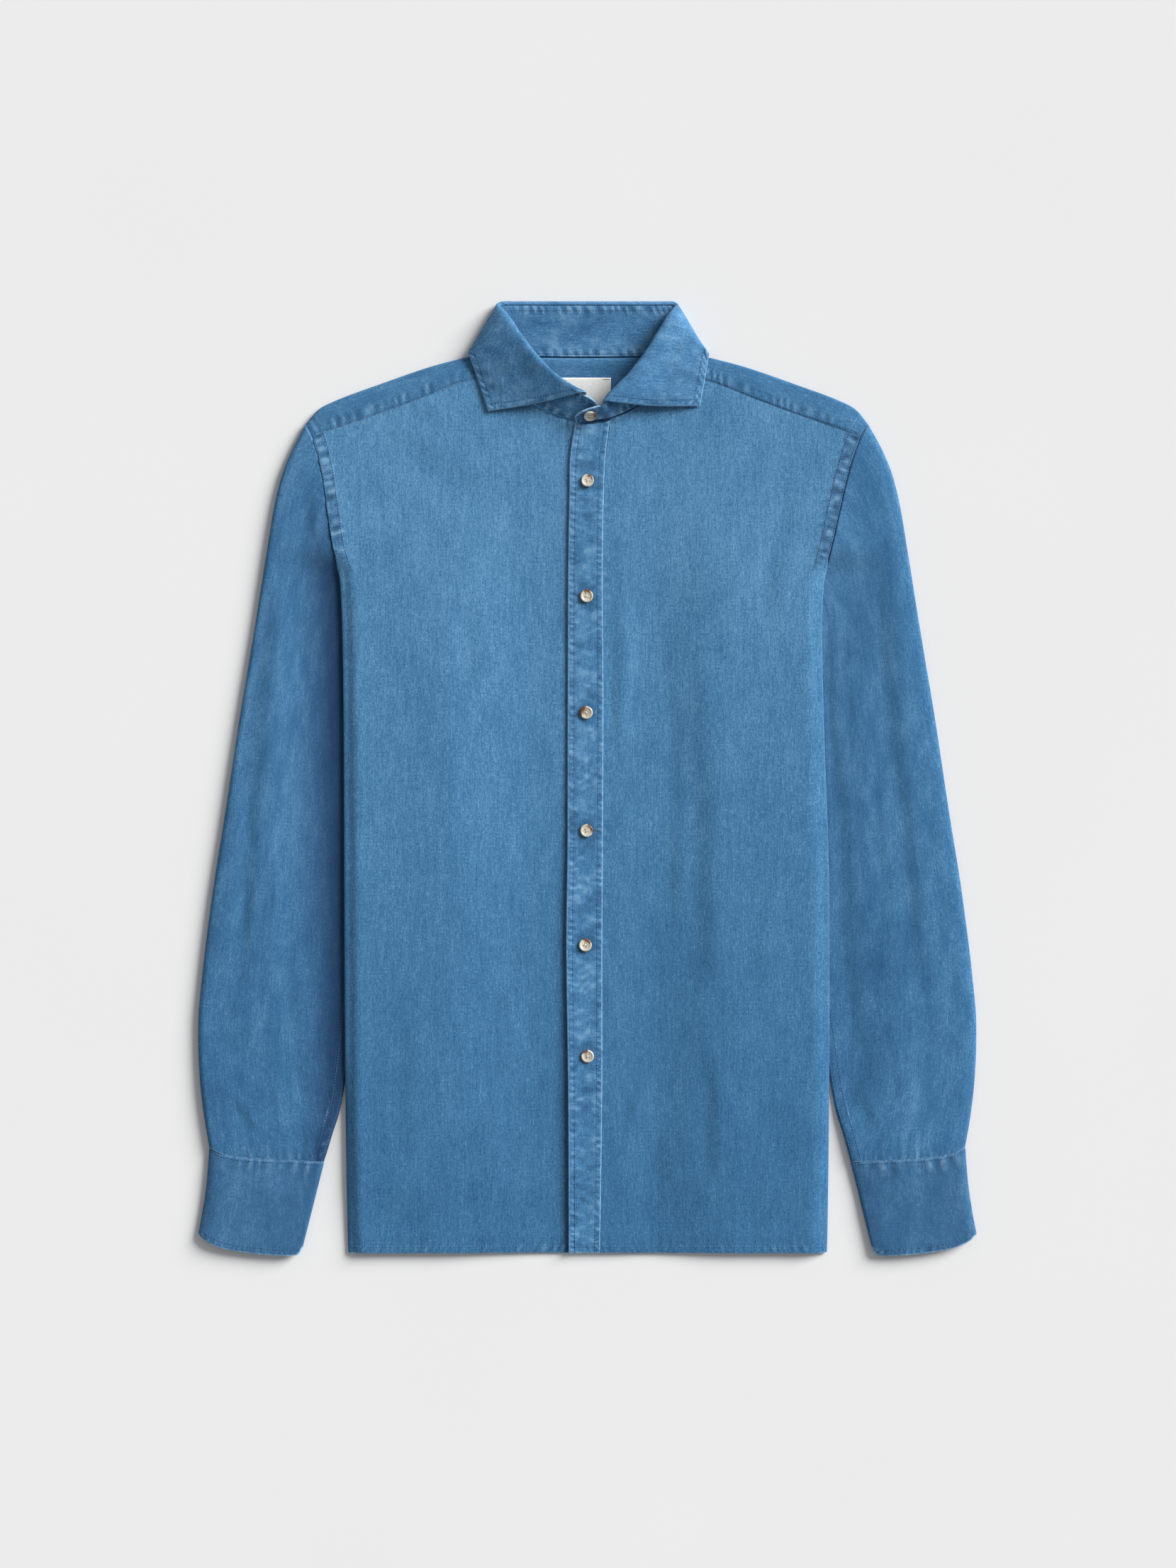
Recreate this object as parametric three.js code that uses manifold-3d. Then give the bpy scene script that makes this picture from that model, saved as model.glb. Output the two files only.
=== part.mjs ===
// A long-sleeved denim shirt with a spread collar, buttoned up and laid flat on its back.
// Its sides are turned under, and its sleeves lie beside the body with their inner edges below it.
// Millimetres. X points to the wearer's left, Y from hem to collar, Z up from the surface it lies on.
// Each piece is a wall of cloth: its middle surface is worked out first and then given its thickness.

import * as THREE from 'three';
import { mergeVertices } from 'three/addons/utils/BufferGeometryUtils.js';
import Module from 'manifold-3d';

const wasm = await Module();
wasm.setup();

// Driving dimensions
const CLOTH = 1.2;          // wall of a single panel
const COLLAR_CLOTH = 1.6;   // collar leaf and band, two layers and a stiffener
const CUFF_CLOTH = 1.8;
const PLACKET_CLOTH = 2.0;
const LABEL_CLOTH = 1.0;
const SEAM = 0.4;           // space between neighbours at a seam
const BACK_SEAM = 1.5;      // space at the back armhole, where the two curves bend differently
const HEM_Y = -402;
const NECK_Y = 300;         // where the neckline crosses the placket
const NECK_SHARE = 0.36;    // part of a front's top edge that the neckline takes
const FLAP = 50;            // how far each side is turned under
const SIDE_RADIUS = 5;      // half width of the rounded side edge
const SIDE_ARC = 14;        // cloth taken up by that rounded edge
const ARMPIT_Y = 85;
const SLEEVE_FLAT = 2.8;    // middle of a sleeve's upper layer where the body lies on it
const FLAP_LIFT = 3.7;      // how far the sleeve lifts the flap above it
const LIFT_WIDTH = 9;       // the slope on which the flap rises
const LIFT_TOP = 146;       // above the armpit the whole flap is lifted from here on
const LIFT_TOP_LENGTH = 26;
const YOKE_BACK_Y = 262;
const YOKE_LIFT = 1.9;      // how far the collar leaf lifts the yoke above it
const YOKE_MIDDLE = 75;     // half width of the part of the yoke behind the neck
const RIDGE_RADIUS = 3;
const FRONT = { low: 2.1, neck: 5.0, side: 8.4, shoulder: 6.8, hem: 6.0 };
const SLEEVE_CREST = 7.0;
const BUTTON_RADIUS = 5.5;
const BUTTON_HEIGHT = 2.4;
const BUTTON_HOLE = 0.75;
const HOLE_AWAY = 1.25;
const REST = 0.3;           // space under what lies on a layer

// Short tables, one row for each section
const BODY_EDGE = [
  { y: -402, left: 201.9, right: 202.5 },
  { y: -385, left: 202.5, right: 203.0 },
  { y: -277, left: 204.3, right: 204.3 },
  { y: -90, left: 205.4, right: 204.2 },
  { y: 40, left: 205.9, right: 200.2 },
  { y: 120, left: 206.9, right: 198.4 },
  { y: 165, left: 208.9, right: 200.0 },
  { y: 178, left: 211.5, right: 203.5 },
  { y: 190, left: 219.0, right: 212.0 },
  { y: 202, left: 229.0, right: 224.0 },
  { y: 300, left: 262.0, right: 262.0 },
];
// Armhole in the panel's own flat width, past the rounded edge below y 178
const ARMHOLE = [
  { y: 85, left: 260.5, right: 252.5 },
  { y: 115, left: 243.0, right: 234.0 },
  { y: 150, left: 224.5, right: 215.5 },
  { y: 170, left: 214.0, right: 205.5 },
  { y: 183, left: 212.2, right: 203.2 },
  { y: 197, left: 215.6, right: 206.8 },
  { y: 229.3, left: 220.5, right: 214.0 },
  { y: 261.4, left: 225.3, right: 221.6 },
  { y: 289.2, left: 232.4, right: 231.0 },
];
// Where the upper layer of a sleeve starts, seen from above, from the shoulder to the armpit
const SLEEVE_HEAD_FRONT = [
  { y: 299.4, left: 238.6, right: 238.0 },
  { y: 289.2, left: 232.9, right: 231.5 },
  { y: 261.4, left: 225.8, right: 222.1 },
  { y: 229.3, left: 221.0, right: 214.5 },
  { y: 197, left: 216.1, right: 207.3 },
  { y: 178, left: 210.6, right: 202.0 },
  { y: 150, left: 199.5, right: 192.5 },
  { y: 118, left: 185.0, right: 179.0 },
  { y: 85, left: 168.0, right: 162.0 },
];
const SLEEVE_HEAD_BACK = [
  { y: 299.4, left: 238.6, right: 238.0 },
  { y: 262, left: 229.6, right: 228.0 },
  { y: 225, left: 222.0, right: 219.0 },
  { y: 185, left: 212.5, right: 207.0 },
  { y: 140, left: 198.0, right: 192.0 },
  { y: 108, left: 183.5, right: 178.0 },
  { y: 85, left: 168.0, right: 162.0 },
];
const SLEEVE_OUTER = [
  { y: 299.4, x: 238.3 },
  { y: 262.8, x: 255.9 },
  { y: 226.8, x: 264.3 },
  { y: 190.8, x: 270.9 },
  { y: 118.8, x: 282.9 },
  { y: 46.8, x: 294.9 },
  { y: -25.2, x: 305.7 },
  { y: -97.2, x: 317.1 },
  { y: -169.2, x: 326.1 },
  { y: -205.2, x: 329.1 },
  { y: -253.2, x: 327.9 },
  { y: -289.2, x: 323.7 },
  { y: -312.8, x: 319.6 },
];
const SLEEVE_INNER = [
  { y: 85, left: 168.0, right: 162.0 },
  { y: -100, left: 188.0, right: 184.5 },
  { y: -277, left: 209.0, right: 210.0 },
  { y: -301, left: 216.3, right: 217.0 },
  { y: -324.9, left: 223.5, right: 223.5 },
];
const CUFF_SEAM = [
  { x: 319.6, y: -312.8 },
  { x: 311.0, y: -317.4 },
  { x: 300.9, y: -320.0 },
  { x: 283.7, y: -321.9 },
  { x: 260.8, y: -323.2 },
  { x: 237.8, y: -324.2 },
  { x: 223.5, y: -324.9 },
];
const CUFF_END = [
  { x: 329.0, y: -386.2 },
  { x: 323.0, y: -391.8 },
  { x: 312.4, y: -396.7 },
  { x: 300.9, y: -399.6 },
  { x: 283.7, y: -402.2 },
  { x: 260.8, y: -403.9 },
  { x: 249.3, y: -404.0 },
  { x: 243.8, y: -402.4 },
  { x: 241.8, y: -397.0 },
];
const NECKLINE = [
  { x: -14, y: 302.6 },
  { x: 0, y: 301.0 },
  { x: 13, y: 302.6 },
  { x: 26, y: 306.4 },
  { x: 34, y: 309.8 },
  { x: 42, y: 314.2 },
  { x: 60, y: 326.6 },
  { x: 72, y: 336.6 },
  { x: 78.6, y: 342.0 },
];
const YOKE_SEAM = [
  { x: 78.6, y: 342.0 },
  { x: 95.4, y: 337.4 },
  { x: 108.3, y: 334.0 },
  { x: 140.4, y: 321.3 },
  { x: 172.6, y: 309.3 },
  { x: 232.4, y: 289.2 },
];
const SHOULDER_RIDGE = [
  { x: 237.6, y: 299.6 },
  { x: 226.6, y: 312.4 },
  { x: 212.4, y: 319.8 },
  { x: 173.5, y: 334.2 },
  { x: 132.1, y: 348.4 },
  { x: 101.1, y: 356.4 },
  { x: 84.0, y: 360.2 },
];
const PLACKET = [
  { y: 300, left: -10.4, right: 19.0 },
  { y: 271, left: -14.7, right: 15.4 },
  { y: 240, left: -15.3, right: 14.0 },
  { y: 178, left: -16.3, right: 13.1 },
  { y: 54, left: -16.7, right: 13.7 },
  { y: -58, left: -16.9, right: 13.2 },
  { y: -141, left: -17.9, right: 12.7 },
  { y: -265, left: -16.3, right: 12.6 },
  { y: -402, left: -15.8, right: 10.8 },
];
// Collar sections from the wearer's right front round the back to the left front.
// neck is the seam to the shirt, start the leaf's seam to the band, the others are points along the leaf
const COLLAR_COLUMNS = ['neck', 'start', 'roll', 'over', 'middle', 'edge'];
const COLLAR_RIGHT = [
  [[-6, 303.4, 6.6], [-1, 323.2, 18.8], [-1, 325.4, 21.4],
    [-4.6, 325, 22.2], [-43.3, 316.4, 13.6], [-84, 310.4, 8.6]],
  [[-22, 307.0, 6.6], [-10.5, 328.4, 19.6], [-11.3, 330.3, 22.0],
    [-14.8, 331, 22.8], [-50, 327, 15.2], [-88.2, 323.5, 8.6]],
  [[-36, 312.8, 6.6], [-24.4, 337.4, 19.6], [-25.9, 339.8, 22.2],
    [-29.2, 341, 23.0], [-58, 340, 15.8], [-92.2, 335.5, 8.6]],
  [[-54, 324.0, 6.7], [-42.4, 355.4, 18.8], [-44.5, 358.5, 21.4],
    [-48, 360, 22.2], [-71, 354, 15.8], [-96.4, 347.5, 8.6]],
  [[-68.6, 336.6, 6.9], [-55.4, 372.8, 16.4], [-57.6, 376.8, 18.8],
    [-61, 377.6, 19.8], [-79, 367, 14.8], [-99.2, 355.4, 8.7]],
  [[-79.0, 348.5, 7.0], [-65.4, 387.6, 12.8], [-67.6, 391.6, 15.2],
    [-71, 391.4, 16.2], [-84.4, 376.8, 13.0], [-100.4, 358.4, 8.7]],
];
const COLLAR_FOLD = [
  [[-82.6, 362.4, 4.8], [-74.2, 398.2, 6.6], [-75.8, 401.2, 7.0],
    [-77.6, 398.2, 7.2], [-88.9, 379.6, 6.0], [-100.9, 359.0, 4.8]],
  [[-80.8, 360.4, 3.2], [-71.6, 400.2, 5.4], [-73.2, 403.2, 3.8],
    [-75.2, 399.6, 1.4], [-87.2, 378.6, 0.9], [-98.8, 357.8, 0.8]],
  [[-70, 358.8, 2.8], [-62, 400.6, 4.9], [-62.5, 403.37, 2.9],
    [-63, 401.5, 0.8], [-70, 377, 0.8], [-80, 352.6, 0.8]],
  [[-36, 357.6, 2.8], [-34, 400.6, 4.9], [-34, 403.37, 2.9],
    [-34, 401.5, 0.8], [-35, 376, 0.8], [-36, 351, 0.8]],
];
const COLLAR_CENTRE = [[0, 357.2, 2.8], [0, 400.6, 4.9], [0, 403.37, 2.9],
  [0, 401.5, 0.8], [0, 376, 0.8], [0, 350.6, 0.8]];
const COLLAR_LEFT = [
  [[79.0, 348.5, 7.0], [66.8, 387.6, 12.8], [69, 391.6, 15.2],
    [72.4, 391.6, 16.2], [86.2, 376.8, 13.0], [103.0, 358.2, 8.7]],
  [[69.4, 337.4, 7.1], [58.2, 373, 16.4], [60.3, 377, 18.8],
    [63.8, 377.8, 19.8], [82, 367, 14.8], [102.4, 355.3, 8.7]],
  [[56, 325.6, 7.4], [46.4, 354.6, 19.0], [48.2, 357.8, 21.4],
    [51.8, 359.2, 22.2], [74, 354, 15.8], [101.4, 348.3, 8.6]],
  [[42, 315.8, 8.0], [32, 336.6, 20.2], [33.2, 338.8, 22.6],
    [36.8, 340.2, 23.4], [64, 340, 16], [99.6, 337.5, 8.6]],
  [[32, 310.4, 8.8], [21.5, 325.6, 20.6], [21.8, 327.6, 22.8],
    [25.4, 328.6, 23.6], [58, 327, 16], [97.4, 326.2, 8.6]],
  [[21, 306.0, 9.4], [12.6, 315.4, 20.4], [12.9, 317.4, 22.6],
    [16.5, 317.4, 23.2], [52, 314.4, 14.4], [95.4, 314.6, 8.6]],
];
// The band runs on past the leaf at the front, under on the wearer's right and over on the left
const BAND_UNDER = [
  { neck: [11, 304.0, 6.6], top: [10, 313, 13.6] },
  { neck: [4, 303.2, 6.6], top: [5.5, 319, 17.0] },
];
const BAND_OVER = [
  { neck: [9, 303.8, 9.7], top: [5.0, 312.8, 21.2] },
  { neck: [-3, 301.6, 9.7], top: [-4.6, 309.4, 20.0] },
  { neck: [-9.6, 301.0, 9.9], top: [-10.6, 305.6, 16.6] },
];
const LABEL = { left: -29.5, right: 20, low: 313, high: 339.6 };
const BUTTONS_Y = [251.9, 154.4, 55.7, -44.3, -141.2, -235.2];
const BUTTONS_X = [0.2, -0.6, -0.8, -0.6, -1.7, 0.2];
// Soft folds: a ridge from one point to another, side -1 is the wearer's right
const FOLDS = [
  { x0: 252, y0: 215, x1: 296, y1: -60, width: 9, height: 1.1 },
  { x0: 236, y0: 60, x1: 262, y1: -230, width: 11, height: 0.9 },
  { x0: 300, y0: -120, x1: 306, y1: -300, width: 9, height: 1.0 },
  { x0: 262, y0: -190, x1: 268, y1: -312, width: 8, height: 0.8 },
];

// Small helpers
const soft = (t) => {
  const c = Math.min(1, Math.max(0, t));
  return c * c * (3 - 2 * c);
};
const mix = (a, b, t) => a + (b - a) * t;
const round = (t) => Math.sqrt(1 - (1 - Math.min(1, Math.max(0, t))) ** 2);
const sideName = (side) => (side < 0 ? 'left' : 'right');

// A smooth reading of one column of a table against another
function read(rows, key, column, at) {
  const up = rows[rows.length - 1][key] > rows[0][key];
  const list = up ? rows : [...rows].reverse();
  const last = list.length - 1;
  if (at <= list[0][key]) return list[0][column];
  if (at >= list[last][key]) return list[last][column];
  let k = 0;
  while (list[k + 1][key] < at) k += 1;
  const span = list[k + 1][key] - list[k][key];
  const slope = (i) => {
    const a = list[Math.max(0, i - 1)];
    const b = list[Math.min(last, i + 1)];
    return (b[column] - a[column]) / (b[key] - a[key]);
  };
  const t = (at - list[k][key]) / span;
  const t2 = t * t;
  const t3 = t2 * t;
  return (2 * t3 - 3 * t2 + 1) * list[k][column] + (t3 - 2 * t2 + t) * span * slope(k)
    + (3 * t2 - 2 * t3) * list[k + 1][column] + (t3 - t2) * span * slope(k + 1);
}

// A curve through a table's points, read by its length from 0 to 1
const smooth = (points) => {
  const vectors = points.map((p) => new THREE.Vector3(...p));
  return new THREE.CatmullRomCurve3(vectors, false, 'centripetal');
};
function through(points) {
  const curve = smooth(points);
  curve.arcLengthDivisions = 400;
  return (t) => curve.getPointAt(Math.min(1, Math.max(0, t))).toArray();
}

// A patch from four edge curves: bottom and top run along u, start and end along v
function coons(bottom, top, start, end) {
  const c00 = bottom(0);
  const c10 = bottom(1);
  const c01 = top(0);
  const c11 = top(1);
  return (u, v) => {
    const [b, t, s, e] = [bottom(u), top(u), start(v), end(v)];
    return [0, 1].map((k) => mix(b[k], t[k], v) + mix(s[k], e[k], u)
      - mix(mix(c00[k], c10[k], u), mix(c01[k], c11[k], u), v));
  };
}

// Grid of middle-surface points, rows by columns
function grid(us, vs, point) {
  return vs.map((v) => us.map((u) => point(u, v)));
}
const steps = (n, from = 0, to = 1) => Array.from({ length: n + 1 }, (_, i) => mix(from, to, i / n));

// Grows the middle surface of one or more joined grids into a closed wall
function wall(grids, thickness) {
  const points = [];
  const found = new Map();
  const index = (p) => {
    const key = p.map((c) => Math.round(c * 100)).join();
    if (!found.has(key)) {
      found.set(key, points.length);
      points.push(new THREE.Vector3(...p));
    }
    return found.get(key);
  };
  const quads = [];
  for (const rows of grids) {
    const ids = rows.map((row) => row.map(index));
    for (let i = 0; i + 1 < ids.length; i += 1) {
      for (let j = 0; j + 1 < ids[i].length; j += 1) {
        const quad = [ids[i][j], ids[i][j + 1], ids[i + 1][j + 1], ids[i + 1][j]];
        const corners = quad.filter((id, n) => quad.indexOf(id) === n);
        if (corners.length > 2) quads.push(corners);
      }
    }
  }
  const normals = points.map(() => new THREE.Vector3());
  for (const q of quads) {
    const a = points[q[2]].clone().sub(points[q[0]]);
    const b = points[q[q.length - 1]].clone().sub(points[q[1]]);
    const n = a.cross(b);
    q.forEach((id) => normals[id].add(n));
  }
  const count = points.length;
  const shift = thickness / 2;
  const place = [1, -1].flatMap((face) => points.map((p, i) => p.clone()
    .addScaledVector(normals[i].normalize(), face * shift)));
  const faces = [];
  const edges = new Map();
  for (const q of quads) {
    for (let k = 1; k + 1 < q.length; k += 1) {
      faces.push(q[0], q[k], q[k + 1]);
      faces.push(q[0] + count, q[k + 1] + count, q[k] + count);
    }
    q.forEach((id, k) => edges.set(`${id},${q[(k + 1) % q.length]}`, [id, q[(k + 1) % q.length]]));
  }
  for (const [a, b] of edges.values()) {
    if (!edges.has(`${b},${a}`)) faces.push(b, a, a + count, b, a + count, b + count);
  }
  const geometry = new THREE.BufferGeometry();
  geometry.setAttribute('position', new THREE.Float32BufferAttribute(place.flatMap((p) => p.toArray()), 3));
  geometry.setIndex(faces);
  return facingOut(geometry);
}

function facingOut(geometry) {
  const p = geometry.getAttribute('position');
  const index = geometry.index.array;
  const corner = (k) => new THREE.Vector3().fromBufferAttribute(p, index[k]);
  let volume = 0;
  for (let k = 0; k < index.length; k += 3) {
    volume += corner(k).dot(corner(k + 1).cross(corner(k + 2)));
  }
  if (volume < 0) {
    for (let k = 0; k < index.length; k += 3) {
      [index[k + 1], index[k + 2]] = [index[k + 2], index[k + 1]];
    }
  }
  return geometry;
}

// Materials
const denim = new THREE.MeshStandardMaterial({ color: 0x4f86b4, roughness: 0.9, metalness: 0 });
const denimDark = new THREE.MeshStandardMaterial({ color: 0x44759f, roughness: 0.9, metalness: 0 });
const horn = new THREE.MeshStandardMaterial({ color: 0xcfc8b4, roughness: 0.35, metalness: 0 });
const woven = new THREE.MeshStandardMaterial({ color: 0xe6e5e0, roughness: 0.85, metalness: 0 });
const shirt = new THREE.Group();
function add(name, geometry, material) {
  const mesh = new THREE.Mesh(geometry, material);
  mesh.name = name;
  shirt.add(mesh);
  return mesh;
}

// Heights of the layers
const folds = (ax, y) => FOLDS.reduce((sum, f) => {
  const [dx, dy] = [f.x1 - f.x0, f.y1 - f.y0];
  const t = ((ax - f.x0) * dx + (y - f.y0) * dy) / (dx * dx + dy * dy);
  const away = Math.hypot(ax - f.x0 - t * dx, y - f.y0 - t * dy);
  return sum + f.height * soft(t * 4) * soft((1 - t) * 4) * Math.exp(-((away / f.width) ** 2));
}, 0);

// Middle of the fronts' cloth above the surface: low along the buttons, full near the sides
function frontHeight(x, y) {
  const centre = mix(FRONT.low, FRONT.neck, soft((y - 120) / 140));
  const side = mix(mix(FRONT.side, FRONT.shoulder, soft((y - 150) / 110)), FRONT.hem, soft((-330 - y) / 72));
  return mix(centre, side, soft((Math.abs(x) - 35) / 95));
}
const bodyEdge = (y, side) => read(BODY_EDGE, 'y', sideName(side), y);
const sleeveInner = (y, side) => read(SLEEVE_INNER, 'y', sideName(side), y);

// Where the turned-under flap starts to rise over the sleeve below it, and the middle of the flap
const liftFrom = (y, side) => {
  const above = soft((y - ARMPIT_Y) / LIFT_TOP_LENGTH + 1);
  return mix(sleeveInner(y, side), LIFT_TOP, above) - LIFT_WIDTH - 2;
};
function flapHeight(x, y, side) {
  return CLOTH / 2 + FLAP_LIFT * soft((Math.abs(x) - liftFrom(y, side)) / LIFT_WIDTH);
}

// Lays a point of a front's flat width s on the body, round its side edge and under it
function layFront(s, y, side, rise) {
  const turn = bodyEdge(y, side) - SIDE_RADIUS;
  if (s <= turn) return [side * s, y, frontHeight(s, y) + rise(s)];
  const angle = ((s - turn) / SIDE_ARC) * Math.PI;
  const under = flapHeight(turn, y, side);
  const over = frontHeight(turn, y);
  if (angle < Math.PI) {
    return [side * (turn + SIDE_RADIUS * Math.sin(angle)), y, mix(under, over, (1 + Math.cos(angle)) / 2)];
  }
  const x = turn - (s - turn - SIDE_ARC);
  return [side * x, y, flapHeight(x, y, side)];
}

// Columns of a front: 0 to 1 on top, 1 to 2 round the side edge, 2 to 5 on the flap
const ACROSS_TOP = [0, 0.08, 0.2, 0.34, 0.48, 0.62, 0.76, 0.9];
const ACROSS_FRONT = [...ACROSS_TOP, 1, 1.2, 1.4, 1.6, 1.8, 2, 3, 3.33, 3.67, 4, 5];
const LOWER_ROWS = 17;
const UPPER_ROWS = 8;
const rowsTo = (y, count) => steps(count, ARMPIT_Y, y).slice(1);
const SHOULDER_Y = YOKE_SEAM[YOKE_SEAM.length - 1].y;
const LEVELS = [...steps(LOWER_ROWS, HEM_Y, ARMPIT_Y), ...rowsTo(SHOULDER_Y, UPPER_ROWS)];
const SHARES = LEVELS.map((y) => (y - HEM_Y) / (LEVELS[LEVELS.length - 1] - HEM_Y));

// A front: from its centre edge to the side seam and armhole, from the hem to neck and yoke
function front(side, centreEdge, rise) {
  const column = sideName(side);
  const topY = YOKE_SEAM[YOKE_SEAM.length - 1].y;
  const seamWidth = (y) => (y < ARMPIT_Y
    ? bodyEdge(y, side) + SIDE_ARC - 2 * SIDE_RADIUS + FLAP
    : read(ARMHOLE, 'y', column, y));
  const neckX = centreEdge(NECK_Y);
  const neckY = read(NECKLINE, 'x', 'y', neckX);
  const neck = NECKLINE.filter((p) => p.x > neckX + 2).map((p) => [p.x, p.y, 0]);
  const neckCurve = through([[neckX, neckY, 0], ...neck]);
  const yokeEnd = read(ARMHOLE, 'y', column, topY);
  const yokeCurve = through([...YOKE_SEAM.slice(0, -1).map((p) => [p.x, p.y, 0]), [yokeEnd, topY, 0]]);
  const pastNeck = (u) => yokeCurve((u - NECK_SHARE) / (1 - NECK_SHARE));
  const top = (u) => (u < NECK_SHARE ? neckCurve(u / NECK_SHARE) : pastNeck(u));
  const bottom = (u) => [mix(centreEdge(HEM_Y), seamWidth(HEM_Y), u), HEM_Y];
  const start = (v) => {
    const y = mix(HEM_Y, neckY, v);
    return [centreEdge(y), y];
  };
  const end = (v) => {
    const y = mix(HEM_Y, topY, v);
    return [seamWidth(y), y];
  };
  const patch = coons(bottom, top, start, end);
  return grid(ACROSS_FRONT, SHARES, (a, v) => {
    const [first, last] = [start(v), end(v)];
    const turn = bodyEdge(last[1], side) - SIDE_RADIUS;
    const reach = last[0] - first[0];
    const foldFrom = Math.min(turn - first[0], reach - 8) / reach;
    const foldTo = Math.min(turn + SIDE_ARC - first[0], reach - 4) / reach;
    const flat = (x) => (2 * turn + SIDE_ARC - x - first[0]) / reach;
    const lift = liftFrom(last[1], side);
    const low = Math.max(foldTo + 2 / reach, Math.min(1 - 1 / reach, flat(lift)));
    const high = Math.max(foldTo + 1 / reach, Math.min(low - 1 / reach, flat(lift + LIFT_WIDTH)));
    const stops = [0, foldFrom, foldTo, high, low, 1];
    const k = Math.min(stops.length - 2, Math.floor(a));
    const [s, y] = patch(mix(stops[k], stops[k + 1], a - k), v);
    return layFront(s, y, side, rise);
  });
}
const placketLeft = (y) => read(PLACKET, 'y', 'left', y);
const placketRight = (y) => read(PLACKET, 'y', 'right', y);
// The wearer's left front lies over the right one, so it is one layer higher near the buttons
const overlapRise = (s) => 1.5 * (1 - soft((s - 22) / 40));

add('front_right', wall([front(-1, () => -12, () => 0)], CLOTH), denim);
add('front_left', wall([front(1, (y) => placketRight(y) + SEAM, overlapRise)], CLOTH), denim);

// Placket: the buttonhole band down the centre, on the right front
const placketTop = (x) => read(NECKLINE, 'x', 'y', x) - COLLAR_CLOTH;
add('placket', wall([grid(steps(4), SHARES, (u, v) => {
  const straight = mix(HEM_Y, NECK_Y, v);
  const x = mix(placketLeft(straight), placketRight(straight), u);
  const y = mix(HEM_Y, placketTop(x), v);
  return [x, y, frontHeight(0, y) + CLOTH / 2 + REST + PLACKET_CLOTH / 2];
})], PLACKET_CLOTH), denimDark);

// Back: flat on the surface between the side seams, up to the yoke
function backEdge(y, side) {
  if (y <= ARMPIT_Y) return bodyEdge(y, side) - FLAP - SEAM;
  return read(SLEEVE_HEAD_BACK, 'y', sideName(side), y) - BACK_SEAM;
}
const BACK_LEVELS = [...steps(LOWER_ROWS, HEM_Y, ARMPIT_Y), ...rowsTo(YOKE_BACK_Y - SEAM, UPPER_ROWS)];
add('back', wall([grid(steps(4), BACK_LEVELS, (u, y) => [
  mix(-backEdge(y, -1), backEdge(y, 1), u), y, CLOTH / 2,
])], CLOTH), denim);

// Yoke: over both shoulders, from the seams on the fronts round the ridge to the seam on the back
const yokeLift = (x, y) => YOKE_LIFT * soft((y - 342) / 8) * soft((114 - Math.abs(x)) / 10);
const yokeUnder = (x, y) => [x, y, CLOTH / 2 + yokeLift(x, y)];
const UNDER_STEPS = [0, 0.05, 0.1, 0.16, 0.3, 0.6, 1];
function shoulder(side) {
  const seamCurve = through([...YOKE_SEAM].reverse().map((p) => [p.x, p.y + SEAM, 0]));
  const ridgeCurve = through(SHOULDER_RIDGE.map((p) => [p.x, p.y, 0]));
  const armhole = read(SLEEVE_HEAD_BACK, 'y', sideName(side), YOKE_BACK_Y) - BACK_SEAM;
  const backCurve = (t) => [mix(armhole, YOKE_MIDDLE, t), YOKE_BACK_Y, 0];
  const section = (t) => {
    const [f, r, b] = [seamCurve, ridgeCurve, backCurve].map((c) => new THREE.Vector3(...c(t)));
    if (side > 0) f.x -= 1.2 * (1 - soft(t * 6));
    r.x -= (side > 0 ? 1.0 : 0.5) * (1 - soft(t * 6));
    const out = r.clone().sub(f);
    const length = out.length();
    out.normalize();
    const back = r.clone().sub(b).normalize();
    const topZ = (p) => frontHeight(p.x, p.y);
    const points = [];
    for (const k of [0, 0.5]) {
      const p = f.clone().addScaledVector(out, k * (length - RIDGE_RADIUS));
      points.push([p.x, p.y, topZ(p)]);
    }
    const turn = r.clone().addScaledVector(out, -RIDGE_RADIUS);
    const fall = r.clone().addScaledVector(back, -RIDGE_RADIUS);
    const [high, low] = [topZ(turn), yokeUnder(fall.x, fall.y)[2]];
    for (const angle of [0, 36, 72, 108, 144].map(THREE.MathUtils.degToRad)) {
      const way = angle < Math.PI / 2 ? out : back;
      const p = r.clone().addScaledVector(way, RIDGE_RADIUS * (Math.sin(angle) - 1));
      points.push([p.x, p.y, mix(low, high, (1 + Math.cos(angle)) / 2)]);
    }
    for (const k of UNDER_STEPS) {
      const p = fall.clone().lerp(b, k);
      points.push(yokeUnder(p.x, p.y));
    }
    return points.map(([x, y, z]) => [side * x, y, z]);
  };
  const rows = steps(9).map(section);
  return side < 0 ? rows : rows.reverse();
}
const [leftShoulder, rightShoulder] = [shoulder(-1), shoulder(1)];
const neckEdge = leftShoulder[leftShoulder.length - 1].slice(-UNDER_STEPS.length);
const neckBack = through([[-neckEdge[0][0], neckEdge[0][1], 0], [60, 356.6, 0], [0, 356.0, 0]]);
const yokeCentre = steps(10, 1, -1).map((t) => {
  if (Math.abs(t) === 1) return neckEdge.map(([x, y, z]) => [Math.sign(t) * x, y, z]);
  const [x, y] = neckBack(1 - Math.abs(t));
  const away = Math.sign(t || 1);
  return UNDER_STEPS.map((k) => {
    const out = mix(-x, -YOKE_MIDDLE * Math.abs(t), k);
    return yokeUnder(away * out, mix(y, YOKE_BACK_Y, k));
  });
});
add('yoke', wall([leftShoulder, yokeCentre, rightShoulder], CLOTH), denim);

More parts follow.
